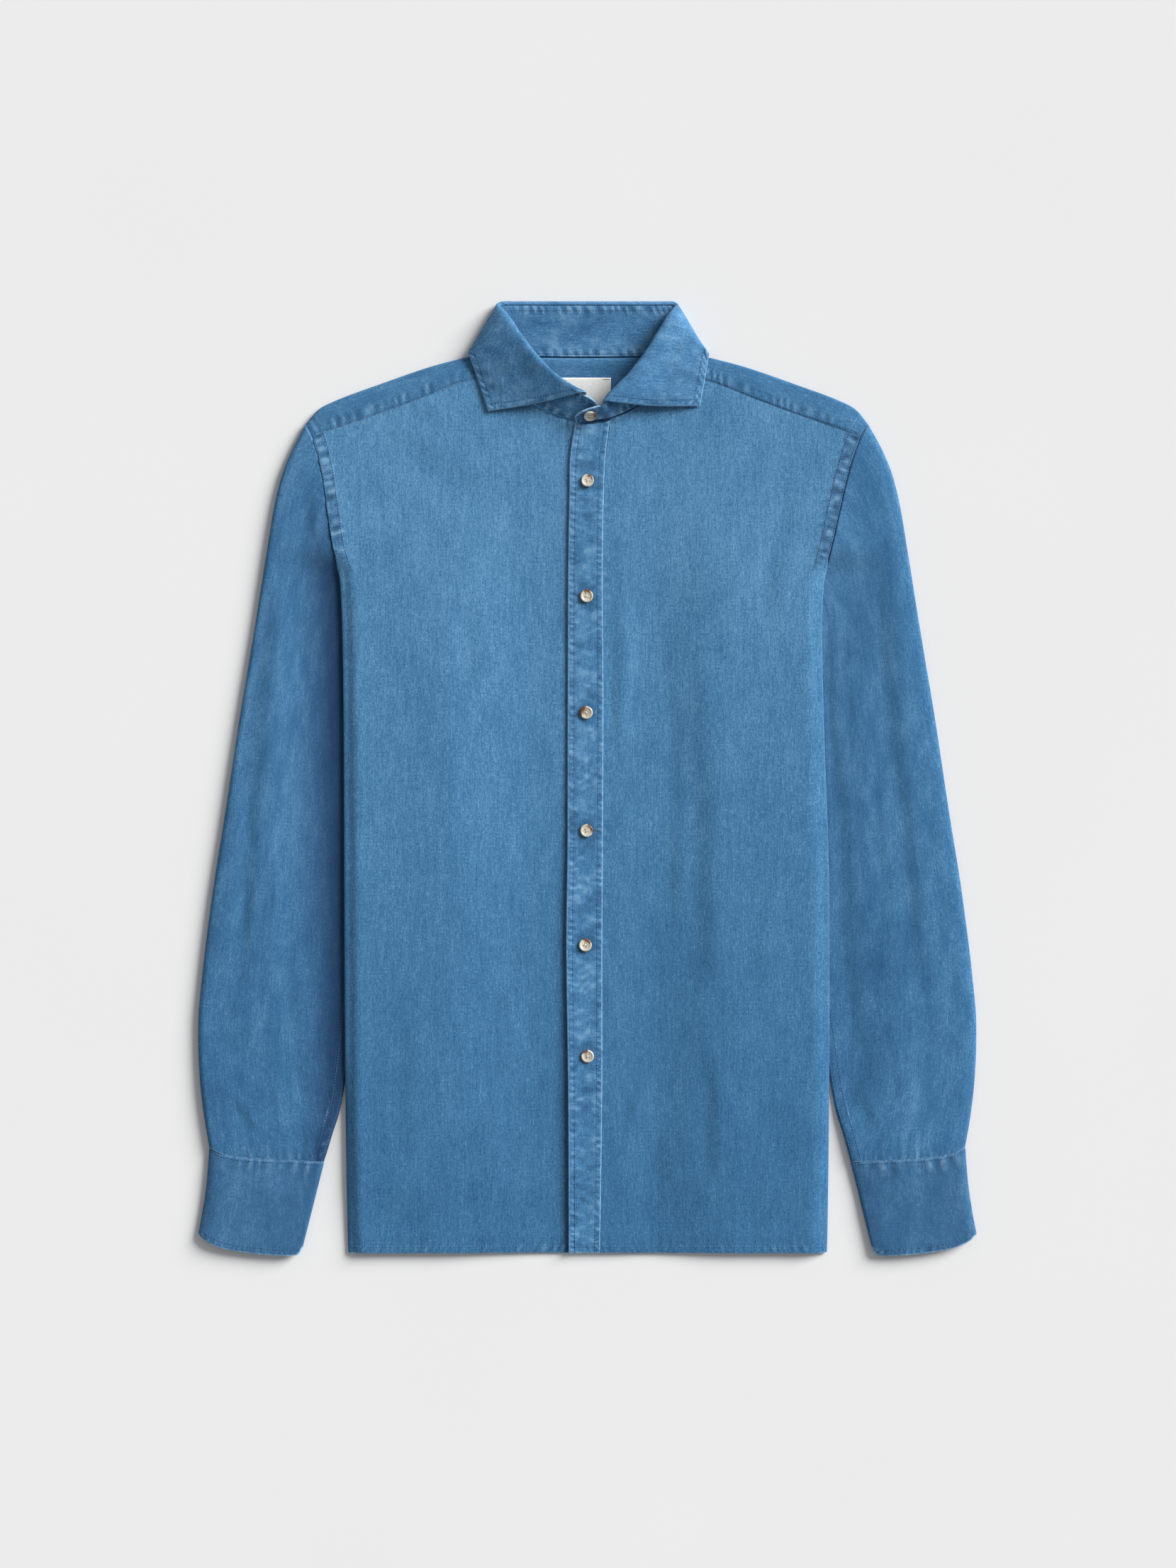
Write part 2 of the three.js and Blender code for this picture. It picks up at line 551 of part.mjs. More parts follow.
// Sleeves: a tube flattened on the surface, from the armhole to the cuff seam
function sleeveHeight(ax, y, side) {
  const beside = ax - bodyEdge(Math.min(y, 178), side);
  const crest = SLEEVE_CREST + folds(ax, y);
  const low = mix(SLEEVE_FLAT, crest, soft((beside - 1.5) / 62));
  const open = soft((-265 - y) / 50);
  const lower = mix(low, mix(5.6, crest, soft((ax - 225) / 45)), open);
  return mix(lower, 6.9, soft((y - 172) / 24));
}
const OVER_SLEEVE = [0, 0.012, 0.035, 0.07, 0.15, 0.28, 0.42, 0.56, 0.7, 0.84, 0.94, 0.985, 1];
const UNDER_SLEEVE = [0.985, 0.9, 0.7, 0.45, 0.2, 0.07, 0.03, 0];
function tube(layers, heights, folded, half, vs) {
  return vs.map((v) => {
    const [outer, inner] = [layers.over(0, v), layers.over(1, v)];
    const width = Math.hypot(outer[0] - inner[0], outer[1] - inner[1]);
    const point = (u, top) => {
      const [ax, y] = (top ? layers.over : layers.under)(u, v);
      const high = heights(ax, y);
      const middle = mix(half, high, 0.5);
      const bend = round((u * width) / folded.outer) * round(((1 - u) * width) / folded.inner(y));
      return [ax, y, top ? mix(middle, high, bend) : mix(middle, half, bend)];
    };
    return [...OVER_SLEEVE.map((u) => point(u, true)), ...UNDER_SLEEVE.map((u) => point(u, false))];
  });
}
const mirrored = (rows, side) => rows.map((row) => row.map(([x, y, z]) => [side * x, y, z]));
const flatCurve = (rows, column) => {
  const curve = through(rows.map((p) => [p[column], p.y, 0]));
  return (t) => curve(t).slice(0, 2);
};
function sleeve(side) {
  const column = sideName(side);
  const cuff = flatCurve(CUFF_SEAM, 'x');
  const outer = flatCurve([{ y: 299.4, x: SLEEVE_HEAD_FRONT[0][column] }, ...SLEEVE_OUTER.slice(1)], 'x');
  const inner = flatCurve(SLEEVE_INNER, column);
  const layers = {
    over: coons(flatCurve(SLEEVE_HEAD_FRONT, column), cuff, outer, inner),
    under: coons(flatCurve(SLEEVE_HEAD_BACK, column), cuff, outer, inner),
  };
  const folded = { outer: 9, inner: (y) => mix(1.6, 5, soft((-265 - y) / 40)) };
  const rows = tube(layers, (ax, y) => sleeveHeight(ax, y, side), folded, CLOTH / 2, steps(22));
  return wall([mirrored(rows, side)], CLOTH);
}
add('sleeve_right', sleeve(-1), denim);
add('sleeve_left', sleeve(1), denim);

// Cuffs: a stiffer band round the end of each sleeve
function cuff(side) {
  const seam = flatCurve(CUFF_SEAM.map((p) => ({ x: p.x, y: p.y - SEAM })), 'x');
  const end = flatCurve(CUFF_END, 'x');
  const [a0, a1, b0, b1] = [seam(0), end(0), seam(1), end(1)];
  const outer = (v) => [mix(a0[0], a1[0], v) - 1.6 * Math.sin(v * Math.PI), mix(a0[1], a1[1], v)];
  const inner = (v) => [mix(b0[0], b1[0], v), mix(b0[1], b1[1], v)];
  const backEnd = (u) => {
    const [x, y] = end(u);
    return [x, y + 3 * Math.sin(u * Math.PI)];
  };
  const layers = { over: coons(seam, end, outer, inner), under: coons(seam, backEnd, outer, inner) };
  const folded = { outer: 7, inner: () => 5 };
  const height = (ax) => mix(5.8, 6.9, soft((ax - 225) / 45));
  return wall([mirrored(tube(layers, height, folded, CUFF_CLOTH / 2, steps(5)), side)], CUFF_CLOTH);
}
add('cuff_right', cuff(-1), denimDark);
add('cuff_left', cuff(1), denimDark);

// Collar: the leaf that folds over, and the band that it stands on
const mirrorRow = (row) => row.map(([x, y, z]) => [-x, y, z]);
const collarRows = [
  ...COLLAR_RIGHT,
  ...COLLAR_FOLD,
  COLLAR_CENTRE,
  ...[...COLLAR_FOLD].reverse().map(mirrorRow),
  ...COLLAR_LEFT,
].map((row) => Object.fromEntries(COLLAR_COLUMNS.map((column, i) => [column, row[i]])));
const LEAF_POINTS = ['start', 'roll', 'over', 'middle', 'edge'];
const LEAF_ACROSS = [0, 0.06, 0.12, 0.2, 0.34, 0.52, 0.75, 1];
function along(rows, pick, count) {
  const curve = smooth(rows.map(pick));
  return steps(count).map((t) => curve.getPoint(t).toArray());
}
const clearOf = (half, [x, y, z]) => [x, y, Math.max(half, z)];
function leaf() {
  const lines = LEAF_POINTS.map((k) => along(collarRows, (r) => r[k], 40));
  return wall([lines[0].map((_, i) => {
    const section = smooth(lines.map((l) => l[i]));
    section.arcLengthDivisions = 100;
    return LEAF_ACROSS.map((t) => clearOf(COLLAR_CLOTH / 2, section.getPointAt(t).toArray()));
  })], COLLAR_CLOTH);
}
add('collar_leaf', leaf(), denimDark);

function band() {
  const bandTop = (row) => {
    const [n, s] = [row.neck, row.start].map((p) => new THREE.Vector3(...p));
    return s.addScaledVector(n.sub(s).normalize(), 1.1).toArray();
  };
  const rows = [
    ...BAND_UNDER,
    ...collarRows.map((r) => ({ neck: r.neck, top: bandTop(r) })),
    ...BAND_OVER,
  ];
  const [low, high] = [along(rows, (r) => r.neck, 46), along(rows, (r) => r.top, 46)];
  return wall([low.map((n, i) => steps(4).map((t) => {
    const belly = Math.sin(t * Math.PI) * 0.4;
    return [mix(n[0], high[i][0], t), mix(n[1], high[i][1], t), mix(n[2], high[i][2], t) - belly];
  }))], COLLAR_CLOTH);
}
add('collar_band', band(), denimDark);

// Label inside the back of the neck
add('neck_label', wall([grid(steps(2), steps(2), (u, v) => [
  mix(LABEL.left, LABEL.right, u), mix(LABEL.low, LABEL.high, v), CLOTH + REST + LABEL_CLOTH / 2,
])], LABEL_CLOTH), woven);

// Buttons: turned discs with a rim and four holes
const solidOf = (geometry) => {
  const bare = geometry.toNonIndexed();
  bare.deleteAttribute('normal');
  bare.deleteAttribute('uv');
  const merged = mergeVertices(bare, 1e-4);
  return new wasm.Manifold(new wasm.Mesh({
    numProp: 3,
    vertProperties: merged.attributes.position.array,
    triVerts: new Uint32Array(merged.index.array),
  }));
};
function buttonGeometry() {
  const r = BUTTON_RADIUS;
  const outside = [[0, 0], [r - 0.9, 0], [r, 0.8], [r - 0.2, 2.1], [r - 0.9, BUTTON_HEIGHT]];
  const profile = [...outside, [r - 1.8, 1.7], [0, 1.6]];
  const disc = new THREE.LatheGeometry(profile.map(([x, z]) => new THREE.Vector2(x, z)), 14);
  disc.rotateX(Math.PI / 2);
  let solid = solidOf(disc);
  for (const [x, y] of [[-1, -1], [1, -1], [1, 1], [-1, 1]]) {
    const drill = new THREE.CylinderGeometry(BUTTON_HOLE, BUTTON_HOLE, 3 * BUTTON_HEIGHT, 6);
    drill.rotateX(Math.PI / 2).translate(x * HOLE_AWAY, y * HOLE_AWAY, 1);
    solid = solid.subtract(solidOf(drill));
  }
  const cut = solid.getMesh();
  const geometry = new THREE.BufferGeometry();
  geometry.setAttribute('position', new THREE.BufferAttribute(new Float32Array(cut.vertProperties), 3));
  geometry.setIndex(new THREE.BufferAttribute(new Uint32Array(cut.triVerts), 1));
  return facingOut(geometry);
}
const button = buttonGeometry();
BUTTONS_Y.forEach((y, i) => {
  const mesh = add(`button_${i + 1}`, button.clone(), horn);
  mesh.position.set(BUTTONS_X[i], y, frontHeight(0, y) + CLOTH / 2 + REST + PLACKET_CLOTH + REST);
});
const collarButton = add('button_collar', button.clone(), horn);
const bandNormal = new THREE.Vector3(0.06, -0.78, 0.62).normalize();
collarButton.quaternion.setFromUnitVectors(new THREE.Vector3(0, 0, 1), bandNormal);
collarButton.position.set(2.4, 307.2, 15.3).addScaledVector(bandNormal, COLLAR_CLOTH / 2 + REST + 0.2);

export default shirt;
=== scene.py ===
# Dresses the denim shirt: cloth shells with puckers and creases, sewing, horn buttons, bare label.
# Tables are in millimetres, in the part's own frame. Each mesh is turned into metres as it is made.
# side is -1 on the wearer's right, which is the left of the photograph, and 1 on the wearer's left.
import math
import bpy
import numpy as np
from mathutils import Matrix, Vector
from mathutils.bvhtree import BVHTree


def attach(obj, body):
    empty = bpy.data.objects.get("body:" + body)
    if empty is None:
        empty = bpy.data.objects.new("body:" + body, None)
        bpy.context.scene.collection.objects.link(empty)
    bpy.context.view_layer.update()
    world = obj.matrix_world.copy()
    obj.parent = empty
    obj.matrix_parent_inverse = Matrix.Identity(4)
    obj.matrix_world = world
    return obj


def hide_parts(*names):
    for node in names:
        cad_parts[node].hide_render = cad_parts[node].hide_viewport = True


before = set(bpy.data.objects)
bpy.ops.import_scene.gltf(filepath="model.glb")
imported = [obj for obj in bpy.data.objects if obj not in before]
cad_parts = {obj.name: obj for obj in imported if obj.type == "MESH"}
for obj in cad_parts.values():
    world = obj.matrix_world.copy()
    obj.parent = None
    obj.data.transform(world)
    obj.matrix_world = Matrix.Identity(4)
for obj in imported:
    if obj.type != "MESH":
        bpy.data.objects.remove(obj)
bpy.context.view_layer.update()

MM = 0.001
CLOTH = 1.1              # thickness of one layer, with the air it holds
COLLAR_CLOTH = 1.6       # and of two layers with their stiffener
CUFF_CLOTH = 1.8
PLACKET_CLOTH = 1.9
SOLID_CLOTH = 1.2        # wall of the solid that a panel stands for
SOLID_PLACKET = 2.0
LABEL_CLOTH = 0.7
SEAM = 0.4               # between the solids
CLOSED_SEAM = 0.1        # where cloth is drawn up against cloth
BACK_SEAM = 1.5          # between the back panel and the sleeves
HEM_Y = -402
NECK_Y = 300
NECK_SHARE = 0.36        # how much of a front's top edge is neckline
FLAP = 50                # width that lies turned under at each side
SIDE_RADIUS = 5          # of the side fold, seen from above
SIDE_ARC = 14            # cloth that goes round it
ARMPIT_Y = 85
FLAP_LIFT = 3.7          # the turned-under part rises where the sleeve lies below it
LIFT_WIDTH = 9
LIFT_TOP = 146
LIFT_TOP_LENGTH = 26
YOKE_BACK_Y = 262
YOKE_LIFT = 1.9
YOKE_MIDDLE = 75
YOKE_CENTRE = [(-60, 356.6), (0, 356.0)]      # where the yoke goes round under the collar
RIDGE_RADIUS = 3         # of the shoulder ridge
SLEEVE_CREST = 7.0
FRONT = {"low": 2.1, "neck": 5.0, "side": 8.4, "shoulder": 6.8, "hem": 6.0}      # heights
BUTTON_RADIUS = 5.5
REST = 0.3               # between a piece and what it rests on
SIDES = ((-1, "right"), (1, "left"))
BAND_WIDTH = 11          # felled band along the armhole
SIDE_DROP = 1.9          # how far the front rounds down towards its side folds
SIDE_ROUND = {-1: 8, 1: 11}
SIDE_RIDGE = 1.1         # the wearer's right side is pushed up by the sleeve under it
SHOULDER_DROP = 2.0      # and towards the shoulder ridge
SHOULDER_ROUND = 15


# Tables

def table(columns, *rows):
    return dict(zip(columns.split(), np.array(rows, float).T))


BODY_EDGE = table(
    "y left right",
    (-402, 201.9, 202.5), (-385, 202.5, 203.0), (-277, 204.3, 204.3), (-90, 205.4, 204.2),
    (40, 205.9, 200.2), (120, 206.9, 198.4), (165, 208.9, 200.0), (178, 211.5, 203.5),
    (190, 219.0, 212.0), (202, 229.0, 224.0), (300, 262.0, 262.0))
ARMHOLE = table(
    "y left right",
    (85, 260.5, 252.5), (115, 243.0, 234.0), (150, 224.5, 215.5), (170, 214.0, 205.5),
    (183, 212.2, 203.2), (197, 215.6, 206.8), (229.3, 220.5, 214.0), (261.4, 225.3, 221.6),
    (289.2, 232.4, 231.0))
SLEEVE_HEAD_FRONT = table(
    "y left right",
    (299.4, 238.6, 238.0), (289.2, 232.9, 231.5), (261.4, 225.8, 222.1), (229.3, 221.0, 214.5),
    (197, 216.1, 207.3), (178, 210.6, 202.0), (150, 199.5, 192.5), (118, 185.0, 179.0),
    (85, 168.0, 162.0))
SLEEVE_HEAD_BACK = table(
    "y left right",
    (299.4, 238.6, 238.0), (262, 229.6, 228.0), (225, 222.0, 219.0), (185, 212.5, 207.0),
    (140, 198.0, 192.0), (108, 183.5, 178.0), (85, 168.0, 162.0))
SLEEVE_OUTER = table(
    "y x",
    (299.4, 238.3), (281, 248.2), (262.8, 256.3), (245, 261.6), (226.8, 265.5), (190.8, 271.4),
    (118.8, 282.9), (46.8, 294.9), (-25.2, 305.7), (-97.2, 317.1), (-169.2, 326.1), (-205.2, 329.1),
    (-253.2, 327.9), (-289.2, 323.7), (-312.8, 319.6))
SLEEVE_INNER = table(
    "y left right",
    (85, 168.0, 162.0), (-100, 188.0, 184.5), (-277, 209.0, 210.0), (-301, 216.3, 217.0),
    (-324.9, 223.5, 223.5))
CUFF_SEAM = table(
    "x y",
    (319.6, -312.8), (311.0, -317.4), (300.9, -320.0), (283.7, -321.9), (260.8, -323.2),
    (237.8, -324.2), (223.5, -324.9))
CUFF_END = table(
    "x y",
    (329.0, -386.2), (323.0, -391.8), (312.4, -396.7), (300.9, -399.6), (283.7, -402.2),
    (260.8, -403.9), (249.3, -404.0), (243.8, -402.4), (241.8, -397.0))
NECKLINE = table(
    "x y",
    (-14, 302.6), (0, 301.0), (13, 302.6), (26, 306.4), (34, 309.8), (42, 314.2),
    (60, 326.6), (72, 336.6), (78.6, 342.0))
YOKE_SEAM = table(
    "x y",
    (78.6, 342.0), (95.4, 337.4), (108.3, 334.0), (140.4, 321.3), (172.6, 309.3), (232.4, 289.2))
SHOULDER_RIDGE = table(
    "x y",
    (237.6, 299.6), (226.6, 312.4), (212.4, 319.8), (173.5, 334.2), (132.1, 348.4),
    (101.1, 356.4), (84.0, 360.2))
PLACKET = table(
    "y left right",
    (300, -10.4, 19.0), (271, -14.7, 15.4), (240, -15.3, 14.0), (178, -16.3, 13.1),
    (54, -16.7, 13.7), (-58, -16.9, 13.2), (-141, -17.9, 12.7), (-265, -16.3, 12.6),
    (-402, -15.8, 10.8))
# Collar sections from the wearer's right front round the back to the left front.
# Six points each: seam to the shirt, start of the leaf, roll, over the roll, middle, edge of the leaf
COLLAR_RIGHT = [
    [(-6, 303.4, 6.6), (-1, 323.2, 18.8), (-1, 325.4, 21.4),
     (-4.6, 325, 22.2), (-43.3, 316.4, 13.6), (-84, 310.4, 8.6)],
    [(-22, 307.0, 6.6), (-10.5, 328.4, 19.6), (-11.3, 330.3, 22.0),
     (-14.8, 331, 22.8), (-50, 327, 15.2), (-88.2, 323.5, 8.6)],
    [(-36, 312.8, 6.6), (-24.4, 337.4, 19.6), (-25.9, 339.8, 22.2),
     (-29.2, 341, 23.0), (-58, 340, 15.8), (-92.2, 335.5, 8.6)],
    [(-54, 324.0, 6.7), (-42.4, 355.4, 18.8), (-44.5, 358.5, 21.4),
     (-48, 360, 22.2), (-71, 354, 15.8), (-96.4, 347.5, 8.6)],
    [(-68.6, 336.6, 6.9), (-55.4, 372.8, 16.4), (-57.6, 376.8, 18.8),
     (-61, 377.6, 19.8), (-79, 367, 14.8), (-99.2, 355.4, 8.7)],
    [(-79.0, 348.5, 7.0), (-65.4, 387.6, 12.8), (-67.6, 391.6, 15.2),
     (-71, 391.4, 16.2), (-84.4, 376.8, 13.0), (-100.4, 358.4, 8.7)],
]
COLLAR_FOLD = [
    [(-82.6, 362.4, 4.8), (-74.2, 398.2, 6.6), (-75.8, 401.2, 7.0),
     (-77.6, 398.2, 7.2), (-88.9, 379.6, 6.0), (-100.9, 359.0, 4.8)],
    [(-80.8, 360.4, 3.2), (-71.6, 400.2, 5.4), (-73.2, 403.2, 3.8),
     (-75.2, 399.6, 1.4), (-87.2, 378.6, 0.9), (-98.8, 357.8, 0.8)],
    [(-70, 358.8, 2.8), (-62, 400.6, 4.9), (-62.5, 403.37, 2.9),
     (-63, 401.5, 0.8), (-70, 377, 0.8), (-80, 352.6, 0.8)],
    [(-36, 357.6, 2.8), (-34, 400.6, 4.9), (-34, 403.37, 2.9),
     (-34, 401.5, 0.8), (-35, 376, 0.8), (-36, 351, 0.8)],
]
COLLAR_CENTRE = [(0, 357.2, 2.8), (0, 400.6, 4.9), (0, 403.37, 2.9),
                 (0, 401.5, 0.8), (0, 376, 0.8), (0, 350.6, 0.8)]
COLLAR_LEFT = [
    [(79.0, 348.5, 7.0), (66.8, 387.6, 12.8), (69, 391.6, 15.2),
     (72.4, 391.6, 16.2), (86.2, 376.8, 13.0), (103.0, 358.2, 8.7)],
    [(69.4, 337.4, 7.1), (58.2, 373, 16.4), (60.3, 377, 18.8),
     (63.8, 377.8, 19.8), (82, 367, 14.8), (102.4, 355.3, 8.7)],
    [(56, 325.6, 7.4), (46.4, 354.6, 19.0), (48.2, 357.8, 21.4),
     (51.8, 359.2, 22.2), (74, 354, 15.8), (101.4, 348.3, 8.6)],
    [(42, 315.8, 8.0), (32, 336.6, 20.2), (33.2, 338.8, 22.6),
     (36.8, 340.2, 23.4), (64, 340, 16), (99.6, 337.5, 8.6)],
    [(32, 310.4, 8.8), (21.5, 325.6, 20.6), (21.8, 327.6, 22.8),
     (25.4, 328.6, 23.6), (58, 327, 16), (97.4, 326.2, 8.6)],
    [(21, 306.0, 9.4), (12.6, 315.4, 20.4), (12.9, 317.4, 22.6),
     (16.5, 317.4, 23.2), (52, 314.4, 14.4), (95.4, 314.6, 8.6)],
]
BAND_UNDER = [((11, 304.0, 6.6), (10, 313, 13.6)), ((4, 303.2, 6.6), (5.5, 319, 17.0))]
BAND_OVER = [
    ((9, 303.8, 9.7), (5.0, 312.8, 21.2)),
    ((-3, 301.6, 9.7), (-4.6, 309.4, 20.0)),
    ((-9.6, 301.0, 9.9), (-10.6, 305.6, 16.6)),
]
LABEL = {"left": -29.5, "right": 20, "low": 313, "high": 339.6}
BUTTONS = table(
    "x y turn",
    (0.2, 251.9, 20), (-0.6, 154.4, 75), (-0.8, 55.7, 140), (-0.6, -44.3, 10), (-1.7, -141.2, 60),
    (0.2, -235.2, 100))
# Creases, each a width, a height and the points it passes. The cloth dips before the
# line and rises after it, seen from the wearer's right; below nothing it is the other way round.
FRONT_CREASES = [
    (20, 0.9, (-176, 292), (-150, 283), (-95, 252), (-60, 244)),
    (9, 0.7, (-150, 312), (-122, 305)),
    (14, -0.5, (-60, 300), (-22, 288)),
    (10, 0.4, (-95, 160), (-96, 60)),
    (12, 0.5, (-150, -190), (-152, -330)),
    (10, 0.5, (-60, -172), (-100, -236)),
    (12, 0.4, (-120, 60), (-116, -160)),
    (9, 0.9, (26, 160), (25, 20)),
    (13, 0.7, (70, 160), (76, 40), (75, -190)),
    (15, 1.2, (84, 140), (92, 90), (99, -60), (100, -170), (96, -230)),
    (10, 0.8, (106, -225), (107, -345)),
    (13, 1.0, (184, 262), (166, 190), (148, 112)),
    (8, 0.6, (40, -262), (30, -318)),
    (9, 0.5, (60, -290), (66, -350)),
    (16, 0.5, (140, 20), (146, -220)),
]
SLEEVE_CREASES = {
    -1: [
        (10, 1.5, (262, 220), (267, 163), (281, -17), (289, -157), (311, -240)),
        (12, -0.9, (240, 250), (250, 120), (256, -60), (262, -230)),
        (7, 0.8, (236, 246), (231, 196)),
        (7, 0.8, (306, -262), (276, -304)),
        (8, 0.7, (250, -150), (240, -240), (236, -300)),
        (7, 0.5, (270, -220), (262, -308)),
        (9, 0.5, (300, 20), (314, -180)),
    ],
    1: [
        (11, 1.7, (247, 225), (250, 183), (260, 63), (272, -37), (280, -137), (297, -250)),
        (10, 1.0, (205, 110), (208, 63), (218, -37), (224, -157), (241, -290)),
        (9, 0.8, (222, -250), (249, -304)),
        (6, 0.6, (206, 150), (208, 10)),
        (7, 0.6, (318, -262), (318, -305)),
        (9, -0.6, (224, 160), (244, -77), (256, -197)),
        (8, 0.5, (262, -240), (270, -308)),
    ],
}
COLLAR_CREASES = [
    (6, 0.6, (-96, 352), (-66, 316)), (8, -0.6, (-72, 374), (-50, 330)), (7, 0.5, (80, 356), (62, 322))]
SLEEVE_ROUND = {-1: 0.3, 1: 1.7}   # how far the outer side of each sleeve rounds down
SLEEVE_LOW = 2.1                   # the sleeve's height where the body lies on it

# Puckers that rows of stitches draw in: the line they follow, their height, pitch and reach, how they
# slant, how far from the line they are strongest, and a seed for their unevenness.
FRONT_PUCKERS = [
    ("armhole", 0.42, 7.6, 4.6, 0.1, 5.5, 0), ("armhole", 0.20, 9.0, 5.0, -0.6, 14, 2),
    ("yoke", 0.16, 6.5, 4.5, 0.4, 1.0, 4), ("neck", 0.26, 6.0, 6.5, 0.2, 1.0, 6),
    ("hem", 0.24, 6.0, 3.6, 0.5, 3.2, 8), ("hem", 0.12, 9.0, 7.0, 0.2, 9.0, 9),
    ("centre", 0.16, 10.0, 6.0, 0.3, 1.5, 10)]
PLACKET_PUCKERS = [
    ("left", 0.44, 5.2, 2.6, 0.2, 3.2, 70), ("right", 0.42, 5.4, 2.4, -0.3, 2.8, 72),
    ("hem", 0.2, 6.0, 3.6, 0.3, 3.0, 76)]
YOKE_PUCKERS = [
    ("seam", 0.52, 8.6, 5.0, -0.3, 5.5, 90), ("seam", 0.14, 5.5, 4.0, -0.6, 2.0, 94),
    ("armhole", 0.3, 9.0, 5.0, 0.6, 5.0, 96)]
SLEEVE_PUCKERS = [
    ("stitched", 0.28, 6.2, 9.0, 0.05, 0.0, 110), ("cuff", 0.18, 11.0, 22.0, 0.1, 6.0, 114),
    ("cuff", 0.16, 3.8, 4.0, 0.1, 0.0, 116), ("underarm", 0.16, 9.0, 4.0, 0.5, 4.5, 118),
    ("armhole", 0.22, 9.5, 5.0, 0.6, 3.0, 122)]
CUFF_PUCKERS = [("seam", 0.34, 11.5, 11.0, 0.15, 3.0, 130), ("end", 0.50, 5.4, 3.0, 0.35, 2.4, 134)]
LEAF_PUCKERS = [
    ("edge", 0.44, 6.6, 2.8, 0.8, 3.0, 150), ("front", 0.40, 6.4, 2.8, 0.7, 3.0, 152),
    ("edge", 0.14, 9.0, 5.0, 0.5, 8.0, 154)]
BAND_PUCKERS = [("seam", 0.36, 8.4, 2.8, 0.2, 2.4, 160), ("top", 0.36, 8.8, 3.0, -0.3, 3.2, 162)]


# Reading tables and lines

def soft(t):
    """From 0 to 1 and level at both ends."""
    t = np.clip(t, 0, 1)
    return t * t * (3 - 2 * t)


def mix(a, b, t):
    return a + (b - a) * t


def bump(t):
    """A hill of height 1 at nothing."""
    return np.exp(-t * t)


def arc(t):
    """From 0 to 1 as a quarter of a circle."""
    return np.sqrt(np.maximum(0, 1 - (1 - np.clip(t, 0, 1)) ** 2))


def side_name(side):
    """A side as the tables name it, by where it is in the photograph."""
    return "left" if side < 0 else "right"


def hermite(t, start, end, slope_in, slope_out):
    """A cubic from start to end, with its slope at both."""
    return ((2 * t**3 - 3 * t**2 + 1) * start + (t**3 - 2 * t**2 + t) * slope_in
            + (3 * t**2 - 2 * t**3) * end + (t**3 - t**2) * slope_out)


def read(rows, key, column, at):
    """A smooth reading of one column of a table against another."""
    x, y = rows[key], rows[column]
    if x[0] > x[-1]:
        x, y = x[::-1], y[::-1]
    n = len(x)
    low, high = np.maximum(np.arange(n) - 1, 0), np.minimum(np.arange(n) + 1, n - 1)
    slope = (y[high] - y[low]) / (x[high] - x[low])
    at = np.clip(at, x[0], x[-1])
    k = np.clip(np.searchsorted(x, at) - 1, 0, n - 2)
    span = x[k + 1] - x[k]
    return hermite((at - x[k]) / span, y[k], y[k + 1], span * slope[k], span * slope[k + 1])


class Curve:
    """A smooth line through points, read by its length or by its sections, from 0 to 1."""

    def __init__(self, points, per=28):
        p = np.array(points, float)
        e = np.vstack([2 * p[0] - p[1], p, 2 * p[-1] - p[-2]])
        t = np.linspace(0, 1, per, endpoint=False)[:, None]
        parts = []
        for a, b, c, d in zip(e, e[1:], e[2:], e[3:]):
            d0, d1, d2 = (max(np.linalg.norm(step), 1e-8) ** 0.5 for step in (b - a, c - b, d - c))
            slope_in = ((b - a) / d0 - (c - a) / (d0 + d1) + (c - b) / d1) * d1
            slope_out = ((c - b) / d1 - (d - b) / (d1 + d2) + (d - c) / d2) * d1
            parts.append(hermite(t, b, c, slope_in, slope_out))
        self.p = np.vstack(parts + [p[-1:]])
        steps = np.linalg.norm(np.diff(self.p, axis=0), axis=1)
        self.s = np.concatenate([[0], np.cumsum(steps)])
        self.length = self.s[-1]
        self.k = np.linspace(0, self.length, len(self.p))

    def _read(self, scale, t):
        t = np.asarray(t, float)
        return np.stack([np.interp(t * self.length, scale, self.p[:, i]) for i in range(self.p.shape[1])], -1)

    def at(self, t):
        return self._read(self.s, t)

    def by_section(self, t):
        return self._read(self.k, t)


def path(rows, columns="x y"):
    """Columns of a table as a line of points."""
    return np.stack([rows[column] for column in columns.split()], -1)


def flat_curve(rows, column="x"):
    return Curve(path(rows, column + " y"))


def coons(bottom, top, start, end):
    """A patch from four edge curves: bottom and top run along u, start and end along v."""
    c00, c10, c01, c11 = bottom(np.array(0.0)), bottom(np.array(1.0)), top(np.array(0.0)), top(np.array(1.0))

    def patch(u, v):
        u, v = np.broadcast_arrays(u, v)
        b, t, s, e = bottom(u), top(u), start(v), end(v)
        u, v = u[..., None], v[..., None]
        return mix(b, t, v) + mix(s, e, u) - mix(mix(c00, c10, u), mix(c01, c11, u), v)

    return patch


def around(line, x, y):
    """How far places lie from a line of points, how far along it, on which hand, and its length."""
    line = np.asarray(line, float)
    away, run, hand, length = np.full(np.shape(x), 1e9), np.zeros(np.shape(x)), np.zeros(np.shape(x)), 0.0
    for a, b in zip(line[:-1], line[1:]):
        d = b - a
        long = np.hypot(*d)
        t = np.clip(((x - a[0]) * d[0] + (y - a[1]) * d[1]) / long**2, 0, 1)
        gap = np.hypot(x - a[0] - t * d[0], y - a[1] - t * d[1])
        near = gap < away
        away, run = np.where(near, gap, away), np.where(near, length + t * long, run)
        hand = np.where(near, np.sign(d[0] * (y - a[1]) - d[1] * (x - a[0])), hand)
        length += long
    return away, run, hand, length


def beside(line, x, y):
    return around(line, x, y)[:2]


